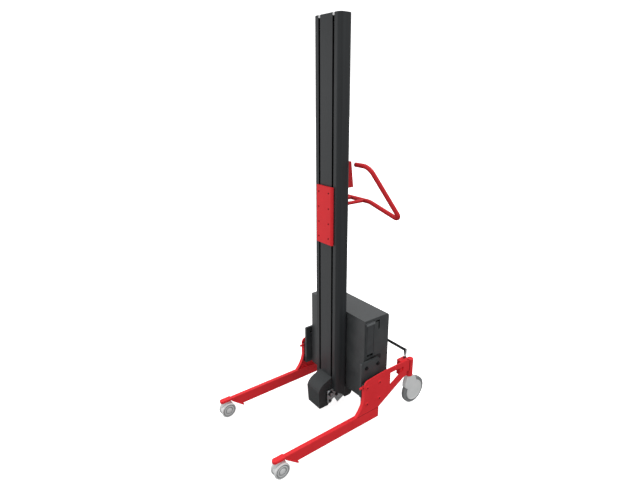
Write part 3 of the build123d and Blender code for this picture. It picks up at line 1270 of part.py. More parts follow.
save("handle", handle())
save("handle_caps", both(handle_cap()))
save("control_box", control_box())
save("up_button", button(-BUTTON_SPACING / 2))
save("down_button", button(BUTTON_SPACING / 2))
save("stop_button", stop_button())
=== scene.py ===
# %% [markdown]
# # A mini stacker, dressed in paint, zinc and plastic
# The imported CAD model already has every tube, plate and wheel in its place.
# This lesson leaves those solids where they are, gives each one the finish it has on the real
# machine, and adds the small things that a solid model leaves out: screw sockets, weld beads,
# woven straps and plugs. The model comes first.
# Its x axis points to the machine's right, y to its back and z up.

# %% Load the imported model
import json
import math

import bmesh
import bpy
import numpy as np
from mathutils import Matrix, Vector


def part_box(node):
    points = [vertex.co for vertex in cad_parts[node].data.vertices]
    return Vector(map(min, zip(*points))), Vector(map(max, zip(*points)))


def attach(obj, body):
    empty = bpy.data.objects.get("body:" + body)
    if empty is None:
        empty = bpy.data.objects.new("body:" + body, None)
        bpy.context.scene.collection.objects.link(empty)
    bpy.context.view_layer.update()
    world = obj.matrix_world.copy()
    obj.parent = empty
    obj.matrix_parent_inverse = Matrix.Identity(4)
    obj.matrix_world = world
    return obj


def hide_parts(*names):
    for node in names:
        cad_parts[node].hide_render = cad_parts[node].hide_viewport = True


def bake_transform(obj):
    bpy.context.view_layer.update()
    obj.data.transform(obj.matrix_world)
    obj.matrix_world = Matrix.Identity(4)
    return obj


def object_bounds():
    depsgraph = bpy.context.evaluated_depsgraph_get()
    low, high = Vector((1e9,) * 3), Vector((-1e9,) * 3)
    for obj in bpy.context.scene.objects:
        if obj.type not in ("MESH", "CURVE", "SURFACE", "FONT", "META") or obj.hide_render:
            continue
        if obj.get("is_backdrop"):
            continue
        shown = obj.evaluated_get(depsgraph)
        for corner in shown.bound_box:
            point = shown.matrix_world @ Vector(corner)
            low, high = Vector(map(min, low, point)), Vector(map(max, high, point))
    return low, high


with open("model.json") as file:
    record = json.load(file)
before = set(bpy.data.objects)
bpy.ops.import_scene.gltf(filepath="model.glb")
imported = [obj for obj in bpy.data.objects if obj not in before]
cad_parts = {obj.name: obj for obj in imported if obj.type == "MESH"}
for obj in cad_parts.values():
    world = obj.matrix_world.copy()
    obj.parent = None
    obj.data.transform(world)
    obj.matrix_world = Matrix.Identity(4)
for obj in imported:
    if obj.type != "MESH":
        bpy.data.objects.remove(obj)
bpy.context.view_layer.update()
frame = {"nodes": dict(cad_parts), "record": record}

MM = 0.001
RIGHT, LEFT, BACK, UP = (1, 0, 0), (-1, 0, 0), (0, 1, 0), (0, 0, 1)
scene = bpy.context.scene

# %% [markdown]
# ## Camera
# The stacker is seen from its front right corner, from a little above the handle. A camera could
# be aimed at a target, but the verticals of the mast only converge as they should when both
# turns are known, so the camera is set by its bearing and its dip.

# %% Camera at the viewing angle
BEARING = math.radians(52.52)
DIP = math.radians(18.0)
LENS = 25.84
SENSOR = 36.0
SHIFT = (-0.0059, -0.00125)
CAMERA_RIGHT = 1.3737
CAMERA_BEFORE_MAST = 1.0638
CAMERA_HEIGHT = 1.331
mast_low, mast_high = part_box("mast_profile")
level = math.cos(DIP)
towards_camera = Vector((math.sin(BEARING) * level, -math.cos(BEARING) * level, math.sin(DIP)))

camera_data = bpy.data.cameras.new("front_right_camera")
camera_data.sensor_width = SENSOR
camera_data.lens = LENS
camera_data.shift_x, camera_data.shift_y = SHIFT
camera = bpy.data.objects.new("front_right_camera", camera_data)
scene.collection.objects.link(camera)
camera.location = Vector((CAMERA_RIGHT, mast_low.y - CAMERA_BEFORE_MAST, CAMERA_HEIGHT))
camera.rotation_euler = (-towards_camera).to_track_quat("-Z", "Y").to_euler()
scene.camera = camera
scene.view_settings.view_transform = "Standard"
print("camera at", [round(v, 3) for v in camera.location])

# %% [markdown]
# ## Tools for finishes
# A finish is a Principled shader with a few pattern nodes in front of it. Four small functions
# are enough: one turns the colour codes that painters use into the linear values that Blender
# mixes, one adds a node, one turns a real size into a texture scale, and one starts a material.

# %% Colours, nodes and materials
def linear(code):
    """An sRGB hex colour as linear red, green, blue and alpha: each channel below 0.04045 is
    divided by 12.92, and a brighter one is raised to the power 2.4."""
    channels = np.array([int(code[i:i + 2], 16) for i in (1, 3, 5)]) / 255
    bright = ((channels + 0.055) / 1.055) ** 2.4
    return (*np.where(channels <= 0.04045, channels / 12.92, bright).tolist(), 1.0)


def add(tree, kind, inputs=None, **settings):
    """One node: settings are its own options, inputs are values or the sockets that feed it."""
    made = tree.nodes.new(kind)
    for option, value in settings.items():
        setattr(made, option, value)
    for socket, value in (inputs or {}).items():
        if isinstance(value, bpy.types.NodeSocket):
            tree.links.new(value, made.inputs[socket])
        else:
            made.inputs[socket].default_value = value
    return made


def spacing(size):
    """The texture scale whose pattern repeats about every `size` millimetres."""
    return 1 / (size * MM)


def start_finish(name, sockets):
    """A material with its Principled shader, constant values set on the shader's own sockets."""
    material = bpy.data.materials.new(name)
    material.use_nodes = True
    tree = material.node_tree
    shader = tree.nodes["Principled BSDF"]
    for socket, value in sockets.items():
        shader.inputs[socket].default_value = value
    return material, tree, shader


print("mid grey in linear light:", round(linear("#808080")[0], 3))

# %% [markdown]
# ## Coated and moulded surfaces
# Powder coat, cast nylon and moulded plastic look alike to a shader: a colour that drifts a
# little over the surface, a gloss that drifts with it, and a fine skin that catches the light.
# One function draws all of them from real sizes. The skin of powder coat repeats every
# millimetre or two, which is finer than a pixel here, so the skins are drawn coarser. Shade is
# painted into the colour in a piece's own inner corners, over a centimetre or two.

# %% A drifting colour with a skin
# How far the painted shade in a piece's inner corners reaches, in mm.
PAINTED_SHADE_REACH = 16
NOISE_LOW, NOISE_HIGH = 0.3, 0.7


def coated(name, dark, light, drift, gloss, skin, height, stretch=(1, 1, 1), **sockets):
    """Colour between `dark` and `light` in spots of `drift` mm, roughness between the two values
    of `gloss` over the same spots, and bumps `skin` mm apart and `height` mm high. `stretch`
    draws the pattern out along an axis where it is below 1. Painted shade: the colour is multiplied
    by the share of the sky that the piece itself leaves open within 16 mm."""
    material, tree, shader = start_finish(name, {k.replace("_", " "): v for k, v in sockets.items()})
    place = add(tree, "ShaderNodeTexCoord").outputs["Object"]
    drawn = add(tree, "ShaderNodeMapping", {"Vector": place, "Scale": stretch}).outputs["Vector"]
    spots = add(tree, "ShaderNodeTexNoise", {"Vector": drawn, "Scale": spacing(drift), "Detail": 4.0})
    grain = add(tree, "ShaderNodeTexNoise", {"Vector": drawn, "Scale": spacing(skin), "Detail": 2.0})
    spread = {"Value": spots.outputs["Fac"], "From Min": NOISE_LOW, "From Max": NOISE_HIGH}
    share = add(tree, "ShaderNodeMapRange", spread)
    rough = add(tree, "ShaderNodeMapRange", {**spread, "To Min": gloss[0], "To Max": gloss[1]})
    colours = {0: share.outputs["Result"], 6: linear(dark), 7: linear(light)}
    mixed = add(tree, "ShaderNodeMix", colours, data_type="RGBA")
    relief = {"Height": grain.outputs["Fac"], "Strength": 1.0, "Distance": height * MM}
    bump = add(tree, "ShaderNodeBump", relief)
    corners = {"Color": mixed.outputs[2], "Distance": PAINTED_SHADE_REACH * MM}
    # Painted shade: the colour darkens in the piece's own inner corners.
    painted_corner_shade = add(tree, "ShaderNodeAmbientOcclusion", corners, only_local=True, samples=8)
    tree.links.new(painted_corner_shade.outputs["Color"], shader.inputs["Base Color"])
    tree.links.new(rough.outputs["Result"], shader.inputs["Roughness"])
    tree.links.new(bump.outputs["Normal"], shader.inputs["Normal"])
    return material


# %% [markdown]
# ## The paints
# Legs, plates, handle, carriage and control box are powder-coated in one signal red, satin, with
# a faint orange peel. The housing and brackets have a fine-textured black powder coat that looks
# dry. The mast is an aluminium extrusion in dark anodising: smooth, with faint lines along the
# draw. A darker red paints the shade in sockets and narrow corners of the red pieces. The handle
# and the control box get a darker copy of the red, which paints shade on them.

# %% Red, textured black and anodised
RED = coated("signal_red_powder_coat", "#ea2f36", "#f2353c", 60, (0.5, 0.6), 6, 0.05, IOR=1.26)
# A darker copy of the red for the handle and the control box: painted shade.
SHADED_RED = coated("shaded_red_powder_coat", "#d62b32", "#de3037", 60, (0.46, 0.58), 6, 0.05, IOR=1.3)
BLACK = coated("fine_texture_black_powder_coat", "#3b3e40", "#454849", 45, (0.42, 0.52), 4, 0.10, IOR=1.5)
# A darker red for screw sockets and joint lines: painted shade.
RED_PAINTED_SHADE = coated("dark_red_painted_shade", "#a01a1e", "#ae2024", 10, (0.5, 0.6), 3, 0.05, IOR=1.3)
MAST = coated("dark_anodised_extrusion", "#2d2f31", "#35383a", 9, (0.36, 0.46), 5, 0.03,
              stretch=(1, 1, 0.02), IOR=1.36)
print("paints:", [finish.name for finish in (RED, SHADED_RED, BLACK, RED_PAINTED_SHADE, MAST)])

# %% [markdown]
# ## The plastics and rubbers
# The drum cover and end plugs are black ABS with a spark-eroded grain, the battery's case is a
# lighter one, and its catch a lighter grey still that paints the highlight of a lit top bevel.
# Black pads under the side brackets paint the shade there, and rings of a darker grey paint part of
# the shade in the front wheels' grooves. The castors are light grey nylon, smoother and a little
# waxy, and their rear treads are a softer, darker grey. Push buttons are polished caps in black and red.

# %% Moulded finishes
ABS = coated("black_abs_spark_grain", "#2a2d2e", "#343739", 30, (0.46, 0.58), 3, 0.08, IOR=1.42)
CASE = coated("dark_grey_abs_case", "#3a3d3f", "#434648", 30, (0.44, 0.54), 3, 0.08, IOR=1.46)
# A lighter grey for the battery catch: painted highlight of a lit top bevel.
CATCH_HIGHLIGHT_GREY = coated("mid_grey_abs_catch_painted_highlight", "#606365", "#6a6d6f", 12, (0.44, 0.54), 3, 0.06, IOR=1.46)
# Black rubber for the foot sleeve; the same black on the pads at the side brackets is painted shade.
RUBBER_AND_PAINTED_SHADE = coated("black_rubber_and_painted_shade", "#17181a", "#1f2022", 12, (0.6, 0.72), 3, 0.06, IOR=1.45)
NYLON = coated("light_grey_nylon", "#e0e2e2", "#e9eaea", 35, (0.36, 0.46), 7, 0.04, IOR=1.53)
# A grey darker than the nylon for the rings in the wheels' grooves: partly painted shade.
GROOVE_SHADE_GREY = coated("pale_grey_painted_groove_shade", "#b4b6b7", "#bfc1c2", 14, (0.55, 0.68), 3, 0.06, IOR=1.45)
TREAD = coated("grey_tread_rubber", "#828486", "#909294", 14, (0.58, 0.72), 3, 0.10, IOR=1.5)
CAP_BLACK = coated("polished_black_cap", "#151617", "#1b1c1d", 12, (0.24, 0.32), 3, 0.02, IOR=1.5)
CAP_RED = coated("polished_red_cap", "#b3151b", "#c01c22", 12, (0.24, 0.32), 3, 0.02, IOR=1.5)
RING_YELLOW = coated("yellow_collar_plastic", "#d9a912", "#e4b51f", 12, (0.36, 0.44), 3, 0.03, IOR=1.5)
LAMINATE = coated("green_board_laminate", "#1d5a2e", "#276b38", 6, (0.34, 0.44), 2, 0.02, IOR=1.5)
print("mouldings:", [finish.name for finish in (ABS, CASE, CATCH_HIGHLIGHT_GREY, RUBBER_AND_PAINTED_SHADE, NYLON, GROOVE_SHADE_GREY, TREAD)])
print("controls:", [finish.name for finish in (CAP_BLACK, CAP_RED, RING_YELLOW, LAMINATE)])

# %% [markdown]
# ## The metals
# Winch plates and levers are bright zinc plate, which crystallises in flat patches a few
# millimetres wide. A Voronoi texture gives each patch its own shade and gloss. Drum and rollers
# are turned steel, and small screws are blackened.

# %% Plated and turned metal
def plated(name, dark, light, patch, gloss):
    """Metal in flat patches of `patch` mm: each cell's random value picks its shade and gloss."""
    material, tree, shader = start_finish(name, {"Metallic": 1.0})
    place = add(tree, "ShaderNodeTexCoord").outputs["Object"]
    cells = add(tree, "ShaderNodeTexVoronoi", {"Vector": place, "Scale": spacing(patch)})
    shade = add(tree, "ShaderNodeSeparateColor", {"Color": cells.outputs["Color"]}).outputs[0]
    mixed = add(tree, "ShaderNodeMix", {0: shade, 6: linear(dark), 7: linear(light)}, data_type="RGBA")
    rough = add(tree, "ShaderNodeMapRange", {"Value": shade, "To Min": gloss[0], "To Max": gloss[1]})
    tree.links.new(mixed.outputs[2], shader.inputs["Base Color"])
    tree.links.new(rough.outputs["Result"], shader.inputs["Roughness"])
    return material


ZINC = plated("bright_zinc_plate", "#b6b9bb", "#d8dbdd", 5, (0.3, 0.44))
STEEL = plated("turned_steel", "#9b9da0", "#b0b2b4", 3, (0.22, 0.3))
DARK_STEEL = plated("blackened_steel", "#2d2e30", "#3a3b3d", 4, (0.36, 0.46))
print("metals:", ZINC.name, STEEL.name, DARK_STEEL.name)

# %% [markdown]
# ## Finishes on the CAD pieces
# The CAD nodes keep their meshes. Only their material slots change, from one table that reads
# like a parts list.

# %% Dress the nodes
DRESS = {
    RED: "carriage_plate leg_tube_left leg_tube_right toe_bar_left toe_bar_right "
         "leg_plate_left leg_plate_right castor_head_left castor_head_right",
    # The handle and the control box take the darker red, which paints shade on them.
    SHADED_RED: "control_box handle",
    BLACK: "housing_shell housing_front chassis_beam side_bracket_left side_bracket_right",
    MAST: "mast_profile mast_cap",
    ABS: "drum_cover mast_foot battery_dock handle_caps carriage_glides",
    CASE: "battery_cassette",
    NYLON: "front_hood_left front_hood_right front_wheels_left front_wheels_right "
           "rear_hood_left rear_hood_right rear_wheel_left rear_wheel_right upper_rollers lower_rollers",
    TREAD: "rear_tread_left rear_tread_right",
    ZINC: "winch_plate_left winch_plate_right torque_arms arm_bolts drum_axle axle_nuts "
          "carriage_axles mast_bolts bracket_bolts leg_bolts carriage_webs",
    STEEL: "strap_drum drive_core top_rollers top_axle drum_bearings",
    CAP_BLACK: "brake_bar up_button down_button",
    CAP_RED: "stop_button",
    LAMINATE: "control_board",
}
for finish, names in DRESS.items():
    for name in names.split():
        for slot in frame["nodes"][name].material_slots:
            slot.material = finish
dressed = {name for names in DRESS.values() for name in names.split()}
print(len(dressed), "nodes dressed, left:", sorted(set(frame["nodes"]) - dressed))

# %% [markdown]
# ## Surfaces from grids
# The small pieces are surfaces over a grid: a row for each step along the piece, a column for each
# step round it. They could be modelled by hand from extruded circles, but a formula on whole
# numpy arrays gives exact sizes and can still be read next year.

# %% A grid of points into faces
MERGE_WITHIN = 1e-6
CRISP = math.radians(35)


def lattice(grid):
    """Quads between the neighbours of a grid of points (rows, columns, 3), closed round the columns.
    A point's UV is the mean distance to it along the rows and round the columns, in metres."""
    ring = np.concatenate([grid, grid[:, :1]], axis=1)
    rows, columns = ring.shape[:2]
    along = np.linalg.norm(np.diff(ring, axis=0, prepend=ring[:1]), axis=2).mean(axis=1).cumsum()
    across = np.linalg.norm(np.diff(ring, axis=1, prepend=ring[:, :1]), axis=2).mean(axis=0).cumsum()
    number = np.arange(rows * columns).reshape(rows, columns)
    quads = np.stack([number[:-1, :-1], number[1:, :-1], number[1:, 1:], number[:-1, 1:]], axis=-1)
    uv = np.stack(np.meshgrid(along, across, indexing="ij"), axis=-1)
    return ring.reshape(-1, 3), quads.reshape(-1, 4), uv.reshape(-1, 2)


def make_piece(name, shapes, finish, body=None, replaced=()):
    """One mesh from several surfaces. Points that meet are merged, faces turned outward, and edges
    sharper than `CRISP` stay crisp. The piece rides on a body and may stand for CAD nodes."""
    starts = np.cumsum([0] + [len(points) for points, _, _ in shapes])
    points = np.concatenate([shape[0] for shape in shapes])
    quads = np.concatenate([shape[1] + start for shape, start in zip(shapes, starts)])
    uv = np.concatenate([shape[2] for shape in shapes])
    mesh = bpy.data.meshes.new(name)
    mesh.from_pydata(points.tolist(), [], quads.tolist())
    corners = np.empty(len(mesh.loops), dtype=np.int32)
    mesh.loops.foreach_get("vertex_index", corners)
    mesh.uv_layers.new(name="surface").data.foreach_set("uv", uv[corners].ravel())
    joined = bmesh.new()
    joined.from_mesh(mesh)
    bmesh.ops.remove_doubles(joined, verts=joined.verts, dist=MERGE_WITHIN)
    bmesh.ops.recalc_face_normals(joined, faces=joined.faces)
    joined.to_mesh(mesh)
    joined.free()
    mesh.materials.append(finish)
    mesh.shade_smooth()
    mesh.set_sharp_from_angle(angle=CRISP)
    piece = bpy.data.objects.new(name, mesh)
    scene.collection.objects.link(piece)
    if body:
        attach(piece, body)
    if replaced:
        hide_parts(*replaced)
    print(name, len(mesh.polygons), "faces on", body)
    return piece


# %% [markdown]
# ## Turned shapes
# Screws, nuts, washers and caps are turned on a lathe and then milled with flats. A formula can do
# both: the radius at each angle is the smaller of a circle and a polygon, so a hexagon that runs
# into a chamfer cone gets the curved corners that real nuts have.

# %% Lathe with flats
UPRIGHT = 0.9


def turned(profile, at, along, sides=6, turn=0.0, steps=48):
    """A profile turned about an axis through `at`. Each row is (radius, height, flat) in mm: a circle
    of that radius, cut down to a polygon whose flats lie `flat` mm from the axis unless that is 0.
    The polygon's radius at an angle is `flat` over the cosine of the angle from the flat's middle."""
    radius, height, flat = np.array(profile, dtype=float).T[:, :, None] * MM
    angle = np.linspace(0, 2 * np.pi, steps, endpoint=False)
    polygon = flat / np.cos(angle % (2 * np.pi / sides) - np.pi / sides)
    reach = np.where(flat > 0, np.minimum(radius, polygon), radius)
    out = np.array(along, dtype=float) / np.linalg.norm(along)
    side = np.cross(out, UP if abs(out[2]) < UPRIGHT else RIGHT)
    side /= np.linalg.norm(side)
    spoke = np.cos(angle + turn)[:, None] * side + np.sin(angle + turn)[:, None] * np.cross(out, side)
    return lattice(np.array(at, dtype=float) + reach[..., None] * spoke + height[..., None] * out)


# %% [markdown]
# ## Leg screws
# Four button-head screws with a hexagon socket hold each leg plate. The CAD heads are plain domes.
# A boolean could cut the sockets, but a profile that climbs over the dome and drops into a hexagon
# needs no cutting. The sockets are lined in a darker red, which paints the shade in them.

# %% Button heads with sockets
BUTTON_HEAD = [(0, 0, 0), (8.5, 0, 0), (8.5, 0.6, 0), (8.2, 1.2, 0), (7.5, 1.8, 0), (6.4, 2.2, 0),
               (5.0, 2.4, 0), (9, 2.4, 3.5), (9, 0.6, 3.5), (0, 0.5, 0)]
SOCKET = [(0, 0.6, 0), (9, 0.6, 3.45), (9, 2.3, 3.45), (9, 2.3, 3.2), (9, 0.9, 3.2), (0, 0.9, 0)]
HEAD_RADIUS = 8.5 * MM
HEAD_HEIGHT = 4.0 * MM
low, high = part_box("leg_bolts")
heads_y = (low.y + HEAD_RADIUS, high.y - HEAD_RADIUS)
heads_z = (low.z + HEAD_RADIUS, high.z - HEAD_RADIUS)
places = [(side * (high.x - HEAD_HEIGHT), y, z) for side in (1, -1) for y in heads_y for z in heads_z]
heads = [turned(BUTTON_HEAD, at, (at[0], 0, 0)) for at in places]
sockets = [turned(SOCKET, at, (at[0], 0, 0)) for at in places]
make_piece("leg_screws", heads, RED, "frame", ["leg_bolts"])
# The socket liners are in the darker red: painted shade.
make_piece("leg_sockets", sockets, RED_PAINTED_SHADE, "frame")

# %% [markdown]
# ## Bracket bolts, winch bolts and axle nuts
# Hexagon bolts on washers hold the brackets, and nuts hold the drum's axle. They are blackened.
# Each is one profile: washer, hexagon, chamfer and a shallow dish on top.

# %% Hexagon heads
BRACKET_HEAD = [(0, 0, 0), (8.4, 0, 0), (8.4, 1.0, 0), (8.1, 1.3, 0), (6.8, 1.3, 0), (6.9, 1.4, 6.0),
                (6.9, 4.6, 6.0), (5.7, 5.4, 0), (5.0, 5.4, 0), (4.6, 5.1, 0), (0, 5.1, 0)]
ARM_HEAD = [(0, 0, 0), (7.0, 0, 0), (7.2, 0.2, 6.2), (7.2, 3.2, 6.2), (5.9, 4.0, 0), (5.2, 4.0, 0),
            (4.8, 3.7, 0), (0, 3.7, 0)]
AXLE_NUT = [(7.2, 0, 0), (11, 0, 0), (12.1, 0.7, 10.5), (12.1, 7.2, 10.5), (10.2, 8, 0), (8, 8, 0),
            (7.2, 7.2, 0), (7.2, 0, 0)]
COVER_SCREW = [(0, 0, 0), (5.5, 0, 0), (5.5, 1.6, 0), (4.9, 2.7, 0), (3.6, 3.2, 0), (9, 3.2, 2.0),
               (9, 1.3, 2.0), (0, 1.2, 0)]
BRACKET_T = 10 * MM
BOLT_RADIUS = 8 * MM
NUT_HEIGHT = 8 * MM
ARM_HEAD_HEIGHT = 4 * MM
COVER_SCREW_DROP = 39 * MM


def both_sides(profile, x, y, z):
    """The same turned shape on the right and the left of the machine, pointing outward."""
    return [turned(profile, (side * x, y, z), (side, 0, 0)) for side in (1, -1)]


# %% Bolts on the brackets
low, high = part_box("bracket_bolts")
middle = (low + high) / 2
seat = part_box("side_bracket_right")[0].x + BRACKET_T
bolts = both_sides(BRACKET_HEAD, seat, low.y + BOLT_RADIUS, middle.z)
bolts += both_sides(BRACKET_HEAD, seat, high.y - BOLT_RADIUS, middle.z)
make_piece("bracket_hex_bolts", bolts, DARK_STEEL, "frame", ["bracket_bolts"])

# %% Nuts and screws on the winch
low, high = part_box("axle_nuts")
axle = (low + high) / 2
nuts = both_sides(AXLE_NUT, high.x - NUT_HEIGHT, axle.y, axle.z)
make_piece("axle_hex_nuts", nuts, DARK_STEEL, "frame", ["axle_nuts"])

low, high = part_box("arm_bolts")
middle = (low + high) / 2
bolts = both_sides(ARM_HEAD, high.x - ARM_HEAD_HEIGHT, middle.y, middle.z)
make_piece("arm_hex_bolts", bolts, DARK_STEEL, "frame", ["arm_bolts"])

winch_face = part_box("winch_plate_right")[1].x
screws = both_sides(COVER_SCREW, winch_face, axle.y, axle.z - COVER_SCREW_DROP)
make_piece("cover_screws", screws, DARK_STEEL, "frame")

# %% [markdown]
# ## Front castor wheels
# Each front castor has two nylon wheels whose outer faces are moulded in rings: a rim, a deep
# groove, a flat band, a second groove and a domed hub cap. A ring of a grey darker than the nylon
# sits in each groove: the groove's shade is partly real and partly painted by the ring's grey. The
# CAD wheel has the first steps only, so a lathe profile with all of them stands for it.

# %% Ringed wheels
FRONT_WHEEL = [(4.2, 0, 0), (29.5, 0, 0), (31.2, 0.5, 0), (32.0, 1.8, 0), (32.0, 8.4, 0), (31.3, 10.0, 0),
               (29.8, 10.9, 0), (28.0, 11.0, 0), (27.4, 10.6, 0), (27.0, 5.6, 0), (23.0, 5.4, 0),
               (22.4, 9.4, 0), (21.6, 9.8, 0), (18.2, 10.0, 0), (17.6, 9.6, 0), (17.2, 5.6, 0),
               (13.2, 5.4, 0), (12.6, 9.2, 0), (11.8, 9.8, 0), (7.0, 10.6, 0), (0, 10.9, 0),
               (0, 5.0, 0), (4.2, 5.0, 0), (4.2, 0, 0)]
GROOVE_RING_INNER = (23.4, 13.6)
GROOVE_RING_SECTION = [(0, 5.7), (3.4, 5.7), (3.4, 8.3), (1.7, 9.1), (0, 8.3), (0, 5.7)]
GROOVE_SHADE_RINGS = [[(inner + out, lift, 0) for out, lift in GROOVE_RING_SECTION] for inner in GROOVE_RING_INNER]
WHEEL_WIDTH = 11 * MM
for side in ("right", "left"):
    body = "front_wheels_" + side
    low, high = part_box(body)
    middle = (low + high) / 2
    seats = [((high.x - WHEEL_WIDTH, middle.y, middle.z), RIGHT),
             ((low.x + WHEEL_WIDTH, middle.y, middle.z), LEFT)]
    wheels = [turned(FRONT_WHEEL, at, out, steps=96) for at, out in seats]
    make_piece("ringed_wheels_" + side, wheels, NYLON, body, [body])
    # The rings' darker grey paints part of the grooves' shade.
    groove_rings = [turned(groove_ring, at, out, steps=96) for at, out in seats for groove_ring in GROOVE_SHADE_RINGS]
    make_piece("wheel_groove_shade_" + side, groove_rings, GROOVE_SHADE_GREY, body)

# %% [markdown]
# ## Swept shapes
# Straps and weld beads keep one section along a path. A curve object with a bevel would do for a
# plain one, but here the section is scaled along the way and the ends close to a point.

# %% Sweep
ROUND, BOXY = 1.0, 0.3


def swept(path, section, up, scale=1.0):
    """A closed section (across, over) in metres drawn along a path, its first measure square to both
    the path and `up`, its second square to that. `scale` sizes it along the way."""
    ahead = np.gradient(path, axis=0)
    ahead /= np.linalg.norm(ahead, axis=1, keepdims=True)
    across = np.cross(ahead, up)
    across /= np.linalg.norm(across, axis=1, keepdims=True)
    over = np.cross(across, ahead)
    size = np.broadcast_to(scale, len(path))[:, None, None]
    grid = path[:, None] + size * (section[:, :1] * across[:, None] + section[:, 1:] * over[:, None])
    first, last = (np.broadcast_to(path[end], (1, len(section), 3)) for end in (0, -1))
    return lattice(np.concatenate([first, grid, last]))


def oval(width, height, power, steps=24):
    """A superellipse: cosine and sine keep their signs and are raised to `power`. `ROUND` is
    an ellipse, `BOXY` is nearly a rectangle."""
    angle = np.linspace(0, 2 * np.pi, steps, endpoint=False)
    corner = np.stack([np.cos(angle), np.sin(angle)], axis=1)
    return np.sign(corner) * np.abs(corner) ** power * np.array([width, height]) / 2


def route(x, y, z):
    """The points of a path: x, y and z are arrays or single values that hold all along it."""
    return np.stack(np.broadcast_arrays(x, y, z), axis=1).astype(float)


# %% [markdown]
# ## Woven lift straps
# Two flat polyester straps wind on the drum, climb the back of the mast, turn over the top rollers
# and come down to the carriage. The CAD model has plain blocks there. A cloth simulation has nothing
# to do on a strap under load, so each strap is a thin oval swept along its route. The weave
# is drawn along the strap's own UV, so it follows the turns. Real threads are under a millimetre
# apart, finer than a pixel, so these are drawn 2.4 mm apart.

# %% A weave that follows the strap
WAVE_PERIOD = math.pi / 10  # a wave texture at scale 1 repeats after this
THREAD_HEIGHT = 0.3 * MM


def woven(name, dark, light, thread):
    """Plain weave: bands along and across the UV, `thread` mm apart. Their product is the height of
    the threads, which also shades the colour."""
    material, tree, shader = start_finish(name, {"Roughness": 0.85, "Sheen Weight": 0.3})
    place = add(tree, "ShaderNodeTexCoord").outputs["UV"]
    scale = spacing(thread) * WAVE_PERIOD
    warp = add(tree, "ShaderNodeTexWave", {"Vector": place, "Scale": scale}, bands_direction="X")
    weft = add(tree, "ShaderNodeTexWave", {"Vector": place, "Scale": scale}, bands_direction="Y")
    bands = {0: warp.outputs["Fac"], 1: weft.outputs["Fac"]}
    height = add(tree, "ShaderNodeMath", bands, operation="MULTIPLY").outputs[0]
    mixed = add(tree, "ShaderNodeMix", {0: height, 6: linear(dark), 7: linear(light)}, data_type="RGBA")
    bump = add(tree, "ShaderNodeBump", {"Height": height, "Strength": 1.0, "Distance": THREAD_HEIGHT})
    tree.links.new(mixed.outputs[2], shader.inputs["Base Color"])
    tree.links.new(bump.outputs["Normal"], shader.inputs["Normal"])
    return material


WEBBING = woven("charcoal_polyester_webbing", "#17181a", "#34363a", 2.4)
print("strap:", WEBBING.name)

# %% Where the straps run
STRAP_T = 1.4 * MM
STRAP_W = 26 * MM
STRAP_X = 18 * MM
STRAP_EDGE = 0.35
STRAP = oval(STRAP_T, STRAP_W, STRAP_EDGE)
run_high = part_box("strap_run")[1]
drop_low, drop_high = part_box("strap_drop")
coil_low, coil_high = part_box("strap_winding")
coil = (coil_low + coil_high) / 2
coil_radius = (coil_high.y - coil_low.y) / 2
drop_y = (drop_low.y + drop_high.y) / 2
roller_y = (drop_y + run_high.y - STRAP_T / 2) / 2
roller_radius = roller_y - drop_y
print("straps turn at radius", round(roller_radius, 4), "and wind to radius", round(coil_radius, 4))


def strap_pair(y, z):
    """The left and right strap along one route in the side view."""
    return [swept(route(x, y, z), STRAP, RIGHT) for x in (-STRAP_X, STRAP_X)]


# %% Run up the mast and over the roller
COIL_GAP = 0.3 * MM
climb = np.linspace(0, 1, 240)
over = np.linspace(0, np.pi, 40)[1:]
foot_y = coil.y + coil_radius + STRAP_T / 2 + COIL_GAP
climb_y = foot_y + climb * (roller_y + roller_radius - foot_y)
climb_z = coil.z + climb * (drop_high.z - coil.z)
run_y = np.concatenate([climb_y, roller_y + roller_radius * np.cos(over)])
run_z = np.concatenate([climb_z, drop_high.z + roller_radius * np.sin(over)])
make_piece("strap_run_webbing", strap_pair(run_y, run_z), WEBBING, "frame", ["strap_run"])

# %% Winding on the drum
TURNS = 4.5
LAYER = 1.46 * MM
angle = np.linspace(-2 * np.pi * TURNS, 0, 400)
radius = coil_radius - STRAP_T / 2 + angle / (2 * np.pi) * LAYER
winding = strap_pair(coil.y + radius * np.cos(angle), coil.z + radius * np.sin(angle))
make_piece("strap_winding_webbing", winding, WEBBING, "drum", ["strap_winding"])

# %% [markdown]
# The strap that comes down to the carriage gets shorter when the carriage rises. Here it is drawn
# once, from the roller down to the carriage, and rides on no body.

# %% Drop to the carriage
drop_z = np.linspace(drop_high.z, drop_low.z, 220)
drop = make_piece("strap_drop_webbing", strap_pair(drop_y, drop_z), WEBBING)
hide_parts("strap_drop")
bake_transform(drop)

# %% [markdown]
# ## Painted shade in the slots
# The carriage's webs run in the mast's two slots. Thin near-black strips on the slots' cheeks paint
# the shade in the slots, so they look black from every side. Each strip is a flat oval drawn down the slot.

